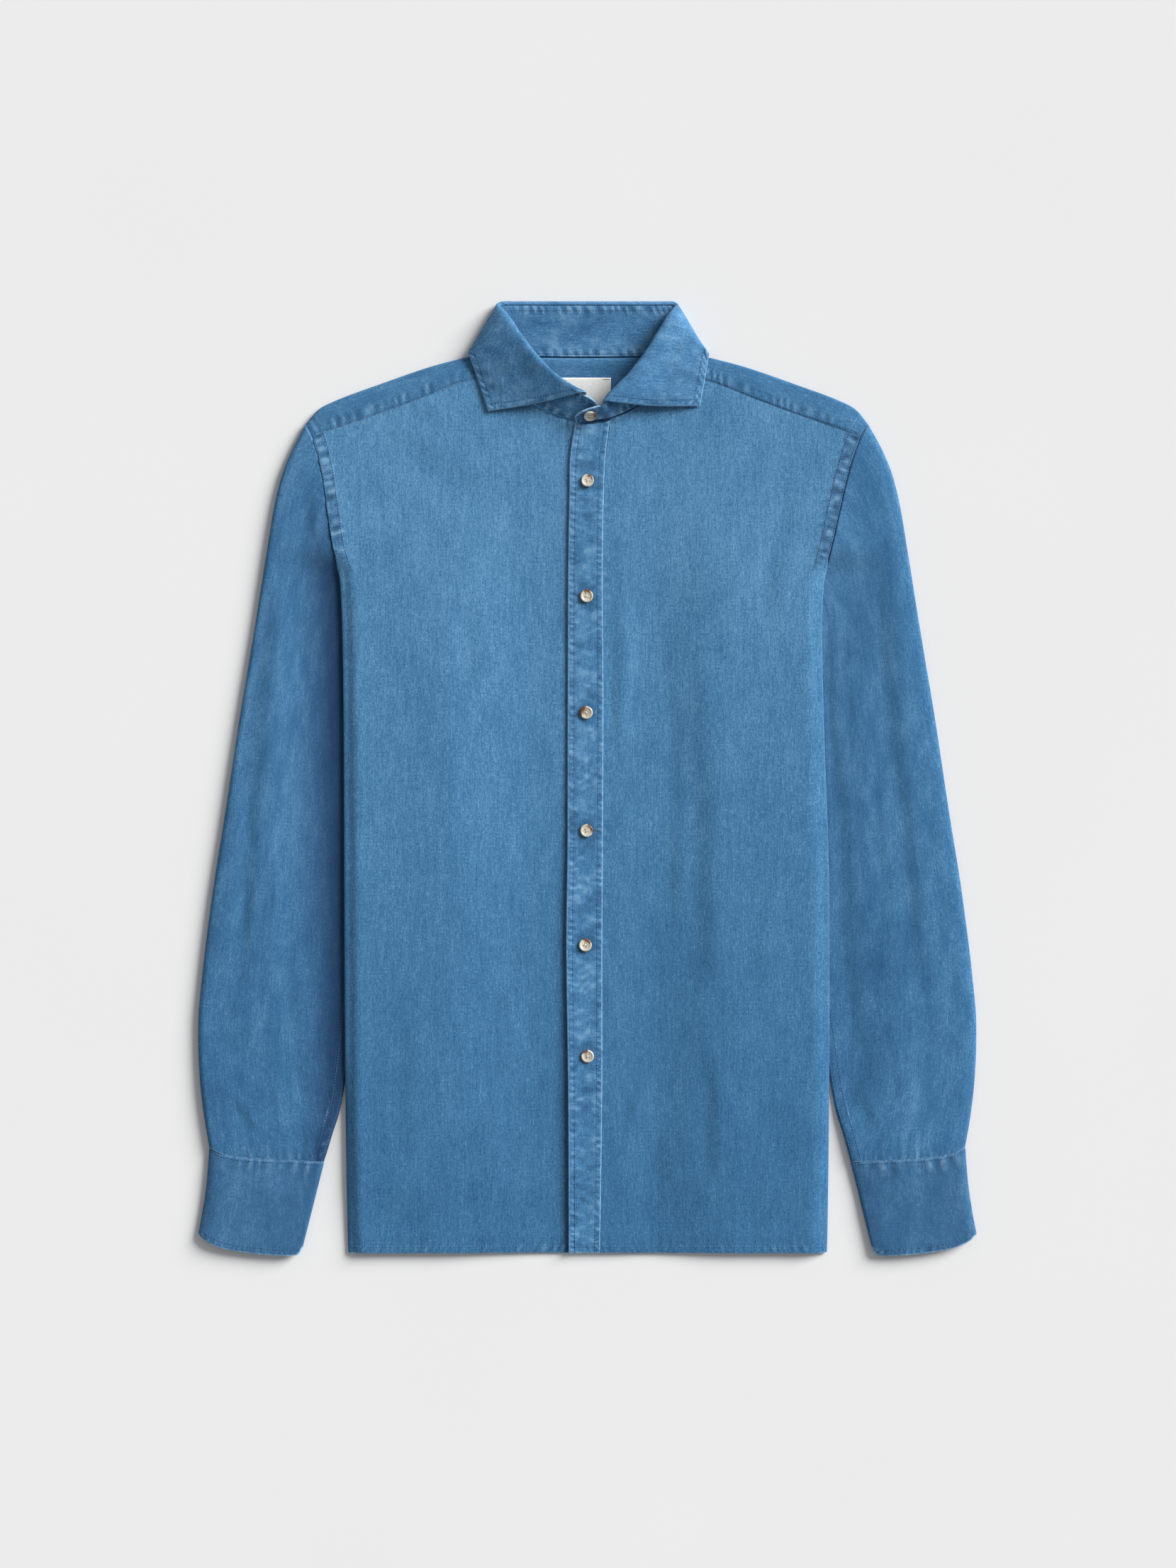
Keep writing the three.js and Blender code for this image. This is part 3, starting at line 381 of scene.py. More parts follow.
def noise(t, seed):
    """Smooth random values from -1 to 1 along a number."""
    values = np.random.default_rng(seed).uniform(-1, 1, 1024)
    k = np.floor(t).astype(int)
    return mix(values[k % 1024], values[(k + 1) % 1024], soft(t - k))


def patches(x, y, seed):
    """Smooth random values over an area."""
    values = np.random.default_rng(seed).uniform(-1, 1, (128, 128))
    i, j = np.floor(x).astype(int), np.floor(y).astype(int)
    u, v = soft(x - i), soft(y - j)
    a, b = i % 128, (i + 1) % 128
    c, d = j % 128, (j + 1) % 128
    return mix(mix(values[a, c], values[b, c], u), mix(values[a, d], values[b, d], u), v)


def puckers(away, run, pitch, reach, slant, start, seed):
    """Ripples that a row of stitches draws into the cloth beside it, from -1 to 1."""
    t = (run + slant * (away - start)) / pitch
    wave = np.cos(2 * np.pi * (t + 0.75 * noise(t * 0.41, seed)))
    size = 0.55 + 0.45 * noise(t * 0.73 + 9, seed + 1)
    return wave * size * bump((away - start) / reach)


def gathered(rows, places, seed=0):
    """Adds up a table's puckers. For each line, places has how far from it, how far along it, and a share."""
    total = 0
    for line, height, pitch, reach, slant, start, own in rows:
        away, run, share = places[line]
        total = total + height * puckers(away, run, pitch, reach, slant, start, seed + own) * share
    return total


def creases(lines, x, y):
    """Adds up placed creases: a trough on one hand of each line and a ridge on the other."""
    total = np.zeros(np.shape(x))
    for width, height, *line in lines:
        away, run, hand, length = around(line, x, y)
        t = run / length
        u = away / (width * (1 + 0.25 * noise(t * 3 + abs(line[0][0]), int(abs(line[0][1])) + 5)))
        total = total + 1.5 * height * hand * u * bump(u) * soft(t * 3.2) * soft((1 - t) * 3.2)
    return total


CLOSE = [0, 0.35, 0.8, 1.4, 2.2, 3.2, 4.3, 5.4, 6.6, 8.0, 9.6, 11.6]      # columns beside a sewn edge


def spaced(length, step, dense_from=False, dense_to=False):
    """Places along a length: a step apart, closer near an end that carries sewing."""
    low = np.array(CLOSE if dense_from else [0.0])
    high = length - np.array(CLOSE[::-1] if dense_to else [0.0])
    count = max(1, int(round((high[0] - low[-1]) / step)))
    return np.concatenate([low, np.linspace(low[-1], high[0], count + 1)[1:-1], high])


# Walls of cloth

covers = {}      # each piece's faces, for laying stitches on it
WELD = 0.005     # points nearer than this are one


def wall(parts, thickness):
    """Grows grids of middle points into one closed wall. Each part has points p, uv, and if needed
    lift, edge, crest, shade and thick, all by rows and columns."""
    usual = {"lift": 0.0, "edge": 40.0, "crest": 0.0, "shade": 0.0, "thick": 1.0}
    fields = {key: np.concatenate([np.broadcast_to(part.get(key, value), part["p"].shape[:2]).reshape(-1)
                                   for part in parts]) for key, value in usual.items()}
    points = np.concatenate([part["p"].reshape(-1, 3) for part in parts])
    uv = np.concatenate([part["uv"].reshape(-1, 2) for part in parts])
    quads, base = [], 0
    for part in parts:
        rows, columns = part["p"].shape[:2]
        ids = np.arange(rows * columns).reshape(rows, columns) + base
        quads.append(np.stack([ids[:-1, :-1], ids[:-1, 1:], ids[1:, 1:], ids[1:, :-1]], -1).reshape(-1, 4))
        base += rows * columns
    quads = np.concatenate(quads)
    keys = np.round(points / WELD).astype(np.int64)
    _, first, same = np.unique(keys, axis=0, return_index=True, return_inverse=True)
    middle, faces = points[first].copy(), same.reshape(-1)[quads]
    count = len(middle)
    bad = (faces == np.roll(faces, 1, 1)).any(1) | (faces[:, 0] == faces[:, 2]) | (faces[:, 1] == faces[:, 3])
    good, good_uv = faces[~bad], quads[~bad]

    def normals():
        across = np.cross(middle[good[:, 2]] - middle[good[:, 0]], middle[good[:, 3]] - middle[good[:, 1]])
        total = np.zeros((count, 3))
        for k in range(4):
            np.add.at(total, good[:, k], across)
        return total / np.maximum(np.linalg.norm(total, axis=1, keepdims=True), 1e-12), across

    value = {key: field[first] for key, field in fields.items()}
    out, _ = normals()
    up = 1.0 if out[:, 2][value["lift"] != 0].sum() >= 0 else -1.0
    middle += out * (value["lift"] * up)[:, None]
    out, across = normals()
    half = (thickness / 2 * value["thick"])[:, None]
    places = np.concatenate([middle + out * half, middle - out * half])
    polygons, corners = [good, good[:, ::-1] + count], [good_uv, good_uv[:, ::-1]]
    triangles, triangle_uv = [], []
    for face, source in zip(faces[bad], quads[bad]):
        keep = [k for k in range(4) if face[k] != face[k - 1]]
        if len(keep) == 3 and len(set(face[keep])) == 3:
            triangles += [face[keep], face[keep][::-1] + count]
            triangle_uv += [source[keep], source[keep][::-1]]
    loops = [good] + ([np.array(triangles[::2])] if triangles else [])
    a = np.concatenate([np.concatenate([f[:, k] for k in range(f.shape[1])]) for f in loops])
    b = np.concatenate([np.concatenate([np.roll(f, -1, 1)[:, k] for k in range(f.shape[1])]) for f in loops])
    free = ~np.isin(a * count + b, b * count + a)
    a, b = a[free], b[free]
    polygons.append(np.stack([b, a, a + count, b + count], -1))
    corners.append(np.stack([first[b], first[a], first[a], first[b]], -1))
    polygons, corners = np.concatenate(polygons), np.concatenate(corners)
    v = places[polygons]
    volume = (v[:, 0] * np.cross(v[:, 1], v[:, 2])).sum() + (v[:, 0] * np.cross(v[:, 2], v[:, 3])).sum()
    if volume < 0:
        polygons, corners = polygons[:, ::-1], corners[:, ::-1]
        triangles, triangle_uv = [t[::-1] for t in triangles], [t[::-1] for t in triangle_uv]
    return {
        "places": places, "faces": polygons.tolist() + [t.tolist() for t in triangles],
        "uv": np.concatenate([uv[corners].reshape(-1, 2)] + [uv[t] for t in triangle_uv]),
        "values": {key: np.tile(value[key], 2) for key in ("edge", "crest", "shade")},
        "area": np.linalg.norm(across, axis=1).sum() / 2 * MM * MM,
    }


def put(name, data, slot=None, node=None):
    """Makes an object. With a slot it is a piece of the shirt, and it may stand for a CAD node."""
    piece = bpy.data.objects.new(name, data)
    bpy.context.collection.objects.link(piece)
    if slot:
        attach(piece, "root")
        if node:
            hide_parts(node)
    return piece


def cloth(name, node, parts, thickness, material, slot):
    """Makes a cloth piece from its parts, hides the CAD part it stands for, and keeps its faces for laying
    stitches on.
    """
    made = wall(parts, thickness)
    mesh = bpy.data.meshes.new(name)
    mesh.from_pydata((made["places"] * MM).tolist(), [], made["faces"])
    mesh.uv_layers.new(name="grain").data.foreach_set("uv", made["uv"].reshape(-1))
    for key, field in made["values"].items():
        mesh.attributes.new(key, "FLOAT", "POINT").data.foreach_set("value", field)
    mesh.shade_smooth()
    mesh.materials.append(material)
    piece = put(name, mesh, slot, node)
    covers[name] = BVHTree.FromPolygons(made["places"].tolist(), made["faces"])


# Colours and shader groups

def colour(r, g, b):
    def linear(c):
        c = c / 255
        return c / 12.92 if c <= 0.04045 else ((c + 0.055) / 1.055) ** 2.4
    return (linear(r), linear(g), linear(b), 1.0)


class Nodes:
    """Short words for making and joining shader or geometry nodes."""

    def __init__(self, tree):
        self.tree = tree

    def join(self, value, socket):
        if isinstance(value, bpy.types.NodeSocket):
            self.tree.links.new(value, socket)
        else:
            socket.default_value = value

    def add(self, kind, inputs=(), **settings):
        node = self.tree.nodes.new(kind)
        for key, value in settings.items():
            setattr(node, key, value)
        for key, value in dict(inputs).items():
            self.join(value, node.inputs[key])
        return node

    def math(self, operation, a, b=0.0, c=0.0, clamp=False):
        return self.add("ShaderNodeMath", {0: a, 1: b, 2: c}, operation=operation, use_clamp=clamp).outputs[0]

    def plus(self, a, b, clamp=False):
        return self.math("ADD", a, b, clamp=clamp)

    def times(self, a, b):
        return self.math("MULTIPLY", a, b)

    def times_plus(self, a, b, c, clamp=False):
        return self.math("MULTIPLY_ADD", a, b, c, clamp)

    def grain(self, vector, by, detail=2.0, rough=0.5, dimensions="2D"):
        """Noise with its own fineness in each direction."""
        fine = self.add("ShaderNodeVectorMath", {0: vector, 1: by}, operation="MULTIPLY").outputs[0]
        shape = {"Vector": fine, "Scale": 1.0, "Detail": detail, "Roughness": rough}
        return self.add("ShaderNodeTexNoise", shape, noise_dimensions=dimensions).outputs[0]

    def layers(self, vector, rows):
        """Adds up noises: fineness across and down, detail, roughness and weight."""
        total = 0.0
        for across, down, detail, rough, weight in rows:
            tone = self.plus(self.grain(vector, (across, down, 0), detail, rough), -0.5)
            total = self.times_plus(tone, weight, total)
        return total

    def range(self, value, low, high, to_low=0.0, to_high=1.0):
        node = self.add("ShaderNodeMapRange", {0: value, 1: low, 2: high, 3: to_low, 4: to_high})
        return node.outputs[0]

    def blend(self, factor, a, b):
        return self.add("ShaderNodeMix", {0: factor, 6: a, 7: b}, data_type="RGBA").outputs[2]


def group(name, inputs, outputs):
    """An empty shader group. An input without a usual value is a vector, and all else is a number."""
    tree = bpy.data.node_groups.new(name, "ShaderNodeTree")
    for label, value in inputs.items():
        kind = "NodeSocketVector" if value is None else "NodeSocketFloat"
        item = tree.interface.new_socket(label, in_out="INPUT", socket_type=kind)
        if value is not None:
            item.default_value = value
    for label in outputs:
        tree.interface.new_socket(label, in_out="OUTPUT", socket_type="NodeSocketFloat")
    n = Nodes(tree)
    return tree, n, n.add("NodeGroupInput").outputs, n.add("NodeGroupOutput").inputs


# Noises of the denim: fineness across and down the cloth, detail, roughness, and weight
YARNS = [(900, 170, 1.0, 0.5, 0.34), (700, 44, 1.0, 0.5, 0.20), (860, 620, 1.0, 0.5, 0.50),
         (230, 24, 1.0, 0.5, 0.14), (120, 620, 1.0, 0.5, 0.12), (420, 260, 1.0, 0.5, 0.16)]
WASH = [(60, 34, 3.0, 0.6, 0.20), (16, 9, 2.0, 0.5, 0.16)]
BLOTCH = (210, 150, 2.0, 0.6)
TWILL, THREAD = 8200.0, 9400.0      # turns of the twill's and the threads' waves in a metre of cloth, as angles


def weave_group():
    """Denim's own tone and relief: slubs along the warp, a fine weave, and clouds from washing."""
    tree, n, given, out = group(
        "denim_weave", {"Grain": None, "Slub": 1.0, "Cloud": 1.0, "Blotch": 0.04}, ["Tone", "Height"])
    uv = given["Grain"]
    fine = n.layers(uv, YARNS)
    cloud = n.layers(uv, [*WASH, (*BLOTCH, given["Blotch"])])
    tone = n.times_plus(fine, given["Slub"], 0.5)
    across, down = n.add("ShaderNodeSeparateXYZ", {0: uv}).outputs[:2]
    twill = n.math("SINE", n.times(n.times_plus(down, 0.5, across), TWILL))
    thread = n.math("SINE", n.times(across, THREAD))
    height = n.plus(n.plus(n.times(twill, 0.09), n.times(thread, 0.07)), fine)
    n.join(n.times_plus(cloud, given["Cloud"], tone, clamp=True), out["Tone"])
    n.join(height, out["Height"])
    return tree


def wear_group():
    """Where seams and edges are rubbed pale, and where the cloth is darker: dye that stays dark between the
    puckers, and the shade input, which holds darker dye along seams, bands and hems and painted shade and painted
    shadow beside raised parts.
    """
    tree, n, given, out = group(
        "seam_wear", {"Grain": None, "Edge": 40.0, "Crest": 0.0, "Shade": 0.0, "Line": 1.5}, ["Pale", "Dark"])
    uv, crest = given["Grain"], given["Crest"]
    patchy = n.range(n.grain(uv, (160, 160, 0), 2.0, 0.6), 0.32, 0.66, 0.25, 1.0)
    breaks = n.plus(n.grain(uv, (420, 420, 0), 2.0, 0.6), -0.5)
    line = n.range(n.times_plus(breaks, 1.2, given["Edge"]), 0.35, given["Line"], 1.0, 0.0)
    pale = n.times(line, n.times_plus(patchy, 0.5, 0.45))
    rubbed = n.times(n.times(n.range(crest, 0.15, 1.0), 0.42), patchy)
    sunk = n.times(n.range(crest, -0.1, -1.0), 0.45)
    n.join(n.math("MAXIMUM", pale, rubbed), out["Pale"])
    n.join(n.plus(sunk, given["Shade"], clamp=True), out["Dark"])
    return tree


WEAVE, WEAR = weave_group(), wear_group()


def new_material(name):
    material = bpy.data.materials.new(name)
    material.use_nodes = True
    return material, Nodes(material.node_tree), material.node_tree.nodes["Principled BSDF"].inputs


def finish(n, shader, base, rough, height, strength=0.4, distance=0.0001):
    """Gives a shader its colour, its roughness and its fine relief."""
    relief = n.add("ShaderNodeBump", {"Strength": strength, "Distance": distance, "Height": height})
    for label, value in (("Base Color", base), ("Roughness", rough), ("Normal", relief.outputs[0])):
        n.join(value, shader[label])


# The dark blue that darker dye and painted shade and shadow both mix towards.
DARK_DYE_AND_SHADE = colour(8, 40, 78)


def denim(name, deep, middle, pale, worn, slub, cloud, painted_falloff, blotch):
    """Washed denim: the tone of its threads between a deep and a pale blue, then wear, then relief."""
    material, n, shader = new_material(name)
    uv = n.add("ShaderNodeUVMap", uv_map="grain").outputs[0]
    weave = n.add("ShaderNodeGroup", node_tree=WEAVE)
    wear = n.add("ShaderNodeGroup", node_tree=WEAR)
    for label, value in (("Grain", uv), ("Slub", slub), ("Cloud", cloud), ("Blotch", blotch)):
        n.join(value, weave.inputs[label])
    n.join(uv, wear.inputs["Grain"])
    for key in ("edge", "crest", "shade"):
        n.join(n.add("ShaderNodeAttribute", attribute_name=key).outputs["Fac"], wear.inputs[key.capitalize()])
    place = n.add("ShaderNodeSeparateXYZ", {0: n.add("ShaderNodeTexCoord").outputs["Object"]}).outputs
    # Painted light falloff: the blue is lighter towards the top of the shirt and darker towards the hem.
    tone = n.plus(weave.outputs["Tone"], n.range(place[1], -0.36, 0.22, -painted_falloff, painted_falloff))
    low = n.blend(n.range(tone, 0.0, 0.5), colour(*deep), colour(*middle))
    base = n.blend(n.range(tone, 0.5, 1.0), low, colour(*pale))
    # Darker dye and painted shade and shadow mix the blue towards the dark blue here.
    dyed_and_shaded = n.blend(n.times(wear.outputs["Dark"], 0.82), base, DARK_DYE_AND_SHADE)
    finish(n, shader, n.blend(wear.outputs["Pale"], dyed_and_shaded, colour(*worn)), n.range(tone, 0.2, 0.9, 0.96, 0.84),
           weave.outputs["Height"], distance=0.00015)
    shader["Sheen Weight"].default_value = 0.12
    shader["Sheen Roughness"].default_value = 0.5
    shader["Specular IOR Level"].default_value = 0.25
    return material


# Each denim's deep, middle and pale blue and its worn edge, then slub, cloud, painted light falloff towards the
# hem and blotch
# The middle blues differ a little by piece, partly as the cloth's own tone and partly as painted light: the
# sleeves darker as painted shade, and the collar lighter as painted light.
DENIM = {name: denim(name + "_denim", *row) for name, row in {
    "body": ((18, 68, 110), (62, 116, 158), (113, 164, 204), (152, 194, 226), 1.0, 1.0, 0.12, 0.04),
    "sleeve": ((18, 68, 110), (58, 111, 154), (108, 158, 198), (148, 190, 222), 0.95, 2.0, 0.03, 0.04),
    "placket": ((18, 64, 106), (66, 121, 165), (116, 162, 202), (150, 194, 226), 0.95, 1.4, 0.04, 0.10),
    "cuff": ((16, 60, 100), (54, 102, 143), (108, 152, 190), (148, 188, 220), 0.62, 1.6, 0.0, 0.10),
    "collar": ((18, 66, 108), (67, 120, 163), (118, 164, 203), (152, 192, 222), 1.05, 1.5, 0.0, 0.12),
    "yoke": ((20, 68, 110), (63, 116, 158), (112, 161, 200), (152, 194, 226), 0.9, 1.6, 0.0, 0.08),
}.items()}


def thread_material(name, dark, light):
    material, n, shader = new_material(name)
    tone = n.grain(n.add("ShaderNodeTexCoord").outputs["Object"], (900, 900, 900), dimensions="3D")
    finish(n, shader, n.blend(n.range(tone, 0.35, 0.65), colour(*dark), colour(*light)),
           n.range(tone, 0.3, 0.7, 0.55, 0.75), tone)
    return material


TONAL_THREAD = thread_material("tonal_thread", (46, 92, 134), (74, 122, 164))
FADED_THREAD = thread_material("faded_thread", (48, 94, 134), (76, 124, 164))
BROWN_THREAD = thread_material("brown_thread", (96, 48, 34), (150, 86, 62))
CREAM_THREAD = thread_material("cream_thread", (190, 184, 166), (226, 222, 208))


def label_material():
    material, n, shader = new_material("label_cloth")
    uv = n.add("ShaderNodeUVMap", uv_map="grain").outputs[0]
    wave, cloud = n.grain(uv, (300, 2600, 0)), n.grain(uv, (60, 60, 0))
    base = n.blend(n.range(wave, 0.3, 0.7), colour(222, 221, 214), colour(242, 242, 238))
    finish(n, shader, n.blend(n.range(cloud, 0.3, 0.8, 0.0, 0.25), base, colour(210, 212, 210)),
           n.range(wave, 0.3, 0.7, 0.62, 0.5), wave, strength=0.35)
    shader["Sheen Weight"].default_value = 0.2
    return material


def horn_material():
    """Cream horn with brown clouds that run to one side of each button."""
    material, n, shader = new_material("horn")
    across, down = n.add("ShaderNodeSeparateXYZ", {
        0: n.add("ShaderNodeUVMap", uv_map="face").outputs[0]}).outputs[:2]
    clouds = n.grain(n.add("ShaderNodeTexCoord").outputs["Object"], (260, 110, 60), 4.0, 0.6, "3D")
    side = n.range(n.times_plus(down, 0.35, across), 0.25, 1.0)
    brown = n.range(n.times_plus(side, 0.34, clouds), 0.60, 0.78)
    base = n.blend(n.range(clouds, 0.3, 0.6), colour(214, 210, 198), colour(190, 182, 162))
    finish(n, shader, n.blend(brown, base, colour(112, 66, 36)), n.range(clouds, 0.3, 0.7, 0.24, 0.36), clouds,
           strength=0.1)
    shader["Coat Weight"].default_value = 0.3
    shader["Coat Roughness"].default_value = 0.15
    return material


LABEL_TAPE, HORN = label_material(), horn_material()


# Heights of the layers

def front_height(x, y):
    """Height of the fronts: low at the centre, higher at the neck, and highest towards the sides."""
    centre = mix(FRONT["low"], FRONT["neck"], soft((y - 120) / 140))
    side = mix(mix(FRONT["side"], FRONT["shoulder"], soft((y - 150) / 110)), FRONT["hem"], soft((-330 - y) / 72))
    return mix(centre, side, soft((np.abs(x) - 35) / 95))


def body_edge(y, side):
    return read(BODY_EDGE, "y", side_name(side), y)


def lift_from(y, side):
    """Where the turned-under part begins to rise, so that the sleeve goes below it."""
    inner = read(SLEEVE_INNER, "y", side_name(side), y)
    return mix(inner, LIFT_TOP, soft((y - ARMPIT_Y) / LIFT_TOP_LENGTH + 1)) - LIFT_WIDTH - 2


def flap_height(x, y, side):
    return SOLID_CLOTH / 2 + FLAP_LIFT * soft((np.abs(x) - lift_from(y, side)) / LIFT_WIDTH)


def yoke_under(x, y):
    """The yoke's lower part, raised a little round the neck."""
    lifted = YOKE_LIFT * soft((y - 342) / 8) * soft((114 - np.abs(x)) / 10)
    return np.stack([x, y, SOLID_CLOTH / 2 + lifted], -1)


def body_detail(x, y):
    """Soft unevenness of cloth that has been worn and washed, in height."""
    return 0.22 * patches(x / 30 + 40, y / 70 + 40, 11) + 0.10 * patches(x / 11 + 20, y / 30 + 20, 12)


# Fronts

def placket_left(y):
    return read(PLACKET, "y", "left", y)


def placket_right(y):
    return read(PLACKET, "y", "right", y)


ARMHOLE_LINE = {s: path(SLEEVE_HEAD_FRONT, side_name(s) + " y")[:7] for s in (-1, 1)}
SHOULDER_Y = YOKE_SEAM["y"][-1]
BODY_STEP, FINE_STEP = 3.1, 1.8      # between rows of the grid below the armpit, and between other rows
PANEL_WIDTH = 195                    # of the part that shows
FOLD_COLUMNS = (12, 4, 4, 7)         # round the side fold, then in three stretches below


def front(side, centre_edge, rise, seed):
    """A front as one grid: from its centre edge out to the side fold, round it, and in again below."""
    name = side_name(side)
    neck_x = float(centre_edge(NECK_Y))
    neck_y = float(read(NECKLINE, "x", "y", neck_x))
    keep = NECKLINE["x"] > neck_x + 2
    neck = Curve([(neck_x, neck_y), *zip(NECKLINE["x"][keep], NECKLINE["y"][keep])])
    yoke_end = float(read(ARMHOLE, "y", name, SHOULDER_Y))
    yoke = Curve([*zip(YOKE_SEAM["x"][:-1], YOKE_SEAM["y"][:-1]), (yoke_end, SHOULDER_Y)])

    def seam_width(y):
        wide = body_edge(y, side) + SIDE_ARC - 2 * SIDE_RADIUS + FLAP
        return np.where(y < ARMPIT_Y, wide, read(ARMHOLE, "y", name, y))

    def top(u):
        return np.where((u < NECK_SHARE)[..., None], neck.at(np.clip(u / NECK_SHARE, 0, 1)),
                        yoke.at(np.clip((u - NECK_SHARE) / (1 - NECK_SHARE), 0, 1)))

    def bottom(u):
        low, high = float(centre_edge(HEM_Y)), float(seam_width(np.array(HEM_Y)))
        return np.stack([mix(low, high, u), np.full(np.shape(u), float(HEM_Y))], -1)

    def start(v):
        y = mix(HEM_Y, neck_y, v)
        return np.stack([centre_edge(y) + 0 * y, y], -1)

    def end(v):
        y = mix(HEM_Y, SHOULDER_Y, v)
        return np.stack([seam_width(y), y], -1)

    patch = coons(bottom, top, start, end)
    lower = spaced(ARMPIT_Y - HEM_Y, BODY_STEP, dense_from=True) + HEM_Y
    upper = spaced(SHOULDER_Y - ARMPIT_Y, FINE_STEP, dense_to=True)[1:] + ARMPIT_Y
    v = ((np.concatenate([lower, upper]) - HEM_Y) / (SHOULDER_Y - HEM_Y))[:, None]
    a = np.concatenate([spaced(PANEL_WIDTH, FINE_STEP, dense_from=True) / PANEL_WIDTH,
                        *(k + 1 + np.arange(1, n + 1) / n for k, n in enumerate(FOLD_COLUMNS))])
    first, last = start(v[:, 0]), end(v[:, 0])
    reach = last[:, 0] - first[:, 0]
    turn = body_edge(last[:, 1], side) - SIDE_RADIUS
    fold_from = np.minimum(turn - first[:, 0], reach - 8) / reach
    fold_to = np.minimum(turn + SIDE_ARC - first[:, 0], reach - 4) / reach
    lift = lift_from(last[:, 1], side)

    def flat(x):
        return (2 * turn + SIDE_ARC - x - first[:, 0]) / reach

    low = np.maximum(fold_to + 2 / reach, np.minimum(1 - 1 / reach, flat(lift)))
    high = np.maximum(fold_to + 1 / reach, np.minimum(low - 1 / reach, flat(lift + LIFT_WIDTH)))
    stops = np.stack([0 * reach, fold_from, fold_to, high, low, 0 * reach + 1], -1)
    k = np.minimum(np.floor(a).astype(int), 4)
    u = stops[:, k] + (stops[:, k + 1] - stops[:, k]) * (a - k)
    flat_point = patch(u, v)
    s, y = flat_point[..., 0], flat_point[..., 1]
    turn = body_edge(y, side) - SIDE_RADIUS
    angle = np.clip((s - turn) / SIDE_ARC, 0, 1) * np.pi
    drop = SIDE_DROP * (0.75 if side < 0 else 1.0) * soft((205 - y) / 40)
    near = np.clip(1 - (turn - s) / SIDE_ROUND[side], 0, 1) ** 2
    ridge = (SIDE_RIDGE if side < 0 else 0.3) * bump((turn - s) / 17) * soft((190 - y) / 40)
    over, under = front_height(turn, y) - drop, flap_height(turn, y, side)
    x = np.where(s <= turn, s, np.where(s < turn + SIDE_ARC, turn + SIDE_RADIUS * np.sin(angle),
                                        2 * turn + SIDE_ARC - s))
    z = np.where(s <= turn, front_height(s, y) + rise(s) - drop * near + ridge * (1 - near),
                 np.where(s < turn + SIDE_ARC, mix(under, over, (1 - angle / np.pi) ** 1.3),
                          flap_height(x, y, side)))
    shown = soft((turn + 3 - s) / 9)
    hole, hole_run = beside(ARMHOLE_LINE[side], x, y)
    hem = y - HEM_Y
    upright = soft((y - 164) / 30)
    banded = soft((BAND_WIDTH + 0.6 - hole) / 1.4) * upright
    ripples = gathered(FRONT_PUCKERS, {
        "armhole": (hole, hole_run, upright), "yoke": (*beside(path(YOKE_SEAM), x, y), 1),
        "neck": (*beside(path(NECKLINE), x, y), 1), "hem": (hem, x, 1),
        "centre": (s - first[:, :1], y, 1)}, seed)
    ripples = ripples + 0.30 * patches(hole / 5 + 60, hole_run / 4.5 + 30, seed + 12) * banded
    detail = body_detail(x * side + 300 * side, y) + creases(FRONT_CREASES, x * side, y)
    detail = detail + 0.35 * bump((hem - 15) / 6)
    faded = 3 * (1 - upright)
    edge = np.minimum.reduce([hem + 0.8, np.abs(hole - BAND_WIDTH) + 1.0 + faded, hole + 1.0 + faded])
    # Painted shadow of the placket's free edge on the wearer's right front: narrow near the neck, wider and
    # darker towards the hem.
    wide = mix(1.6, 8, soft((30 - y) / 200))
    painted_placket_shadow = np.where(side < 0, bump((s - 17) / wide), 0) * mix(0.3, 0.4, soft((60 - y) / 260))
    # Darker dye along the armhole band and the hem, with the painted placket shadow.
    shade = 0.30 * banded + 0.10 * soft((5.2 - hem) / 1.2) + painted_placket_shadow
    return [{
        "p": np.stack([side * x, y, z], -1), "uv": np.stack([side * s, y], -1) * MM,
        "lift": shown * (ripples + detail + 0.35 * banded + 0.25 * soft((5.6 - hem) / 1.2)),
        "edge": np.where(shown > 0.5, edge, np.minimum(hem * 1.3, 40)), "crest": shown * ripples / 0.3,
        "shade": shade * shown, "thick": mix(0.45, 1, arc(hem / 1.0)) * np.ones(y.shape),
    }]


def overlap_rise(s):
    """The left front lies on the right front along the centre."""
    return 1.5 * (1 - soft((s - 22) / 40))


right_front = front(-1, lambda y: -12 + 0 * np.asarray(y, float), lambda s: 0 * s, 20)
left_front = front(1, lambda y: placket_right(y) + CLOSED_SEAM, overlap_rise, 50)
cloth("right_front_panel", "front_right", right_front, CLOTH, DENIM["body"], "body_denim")
cloth("left_front_panel", "front_left", left_front, CLOTH, DENIM["body"], "body_denim")


# Placket with buttonholes

PLACKET_WIDTH = 30
PLACKET_CURL = 1.1       # how far the placket's free edge stands up towards the hem
STITCHED_LEFT, STITCHED_RIGHT = 5.4, 4.6      # from its edges to its rows of stitches
GROOVE = 0.22            # depth of cloth that a row of stitches draws down


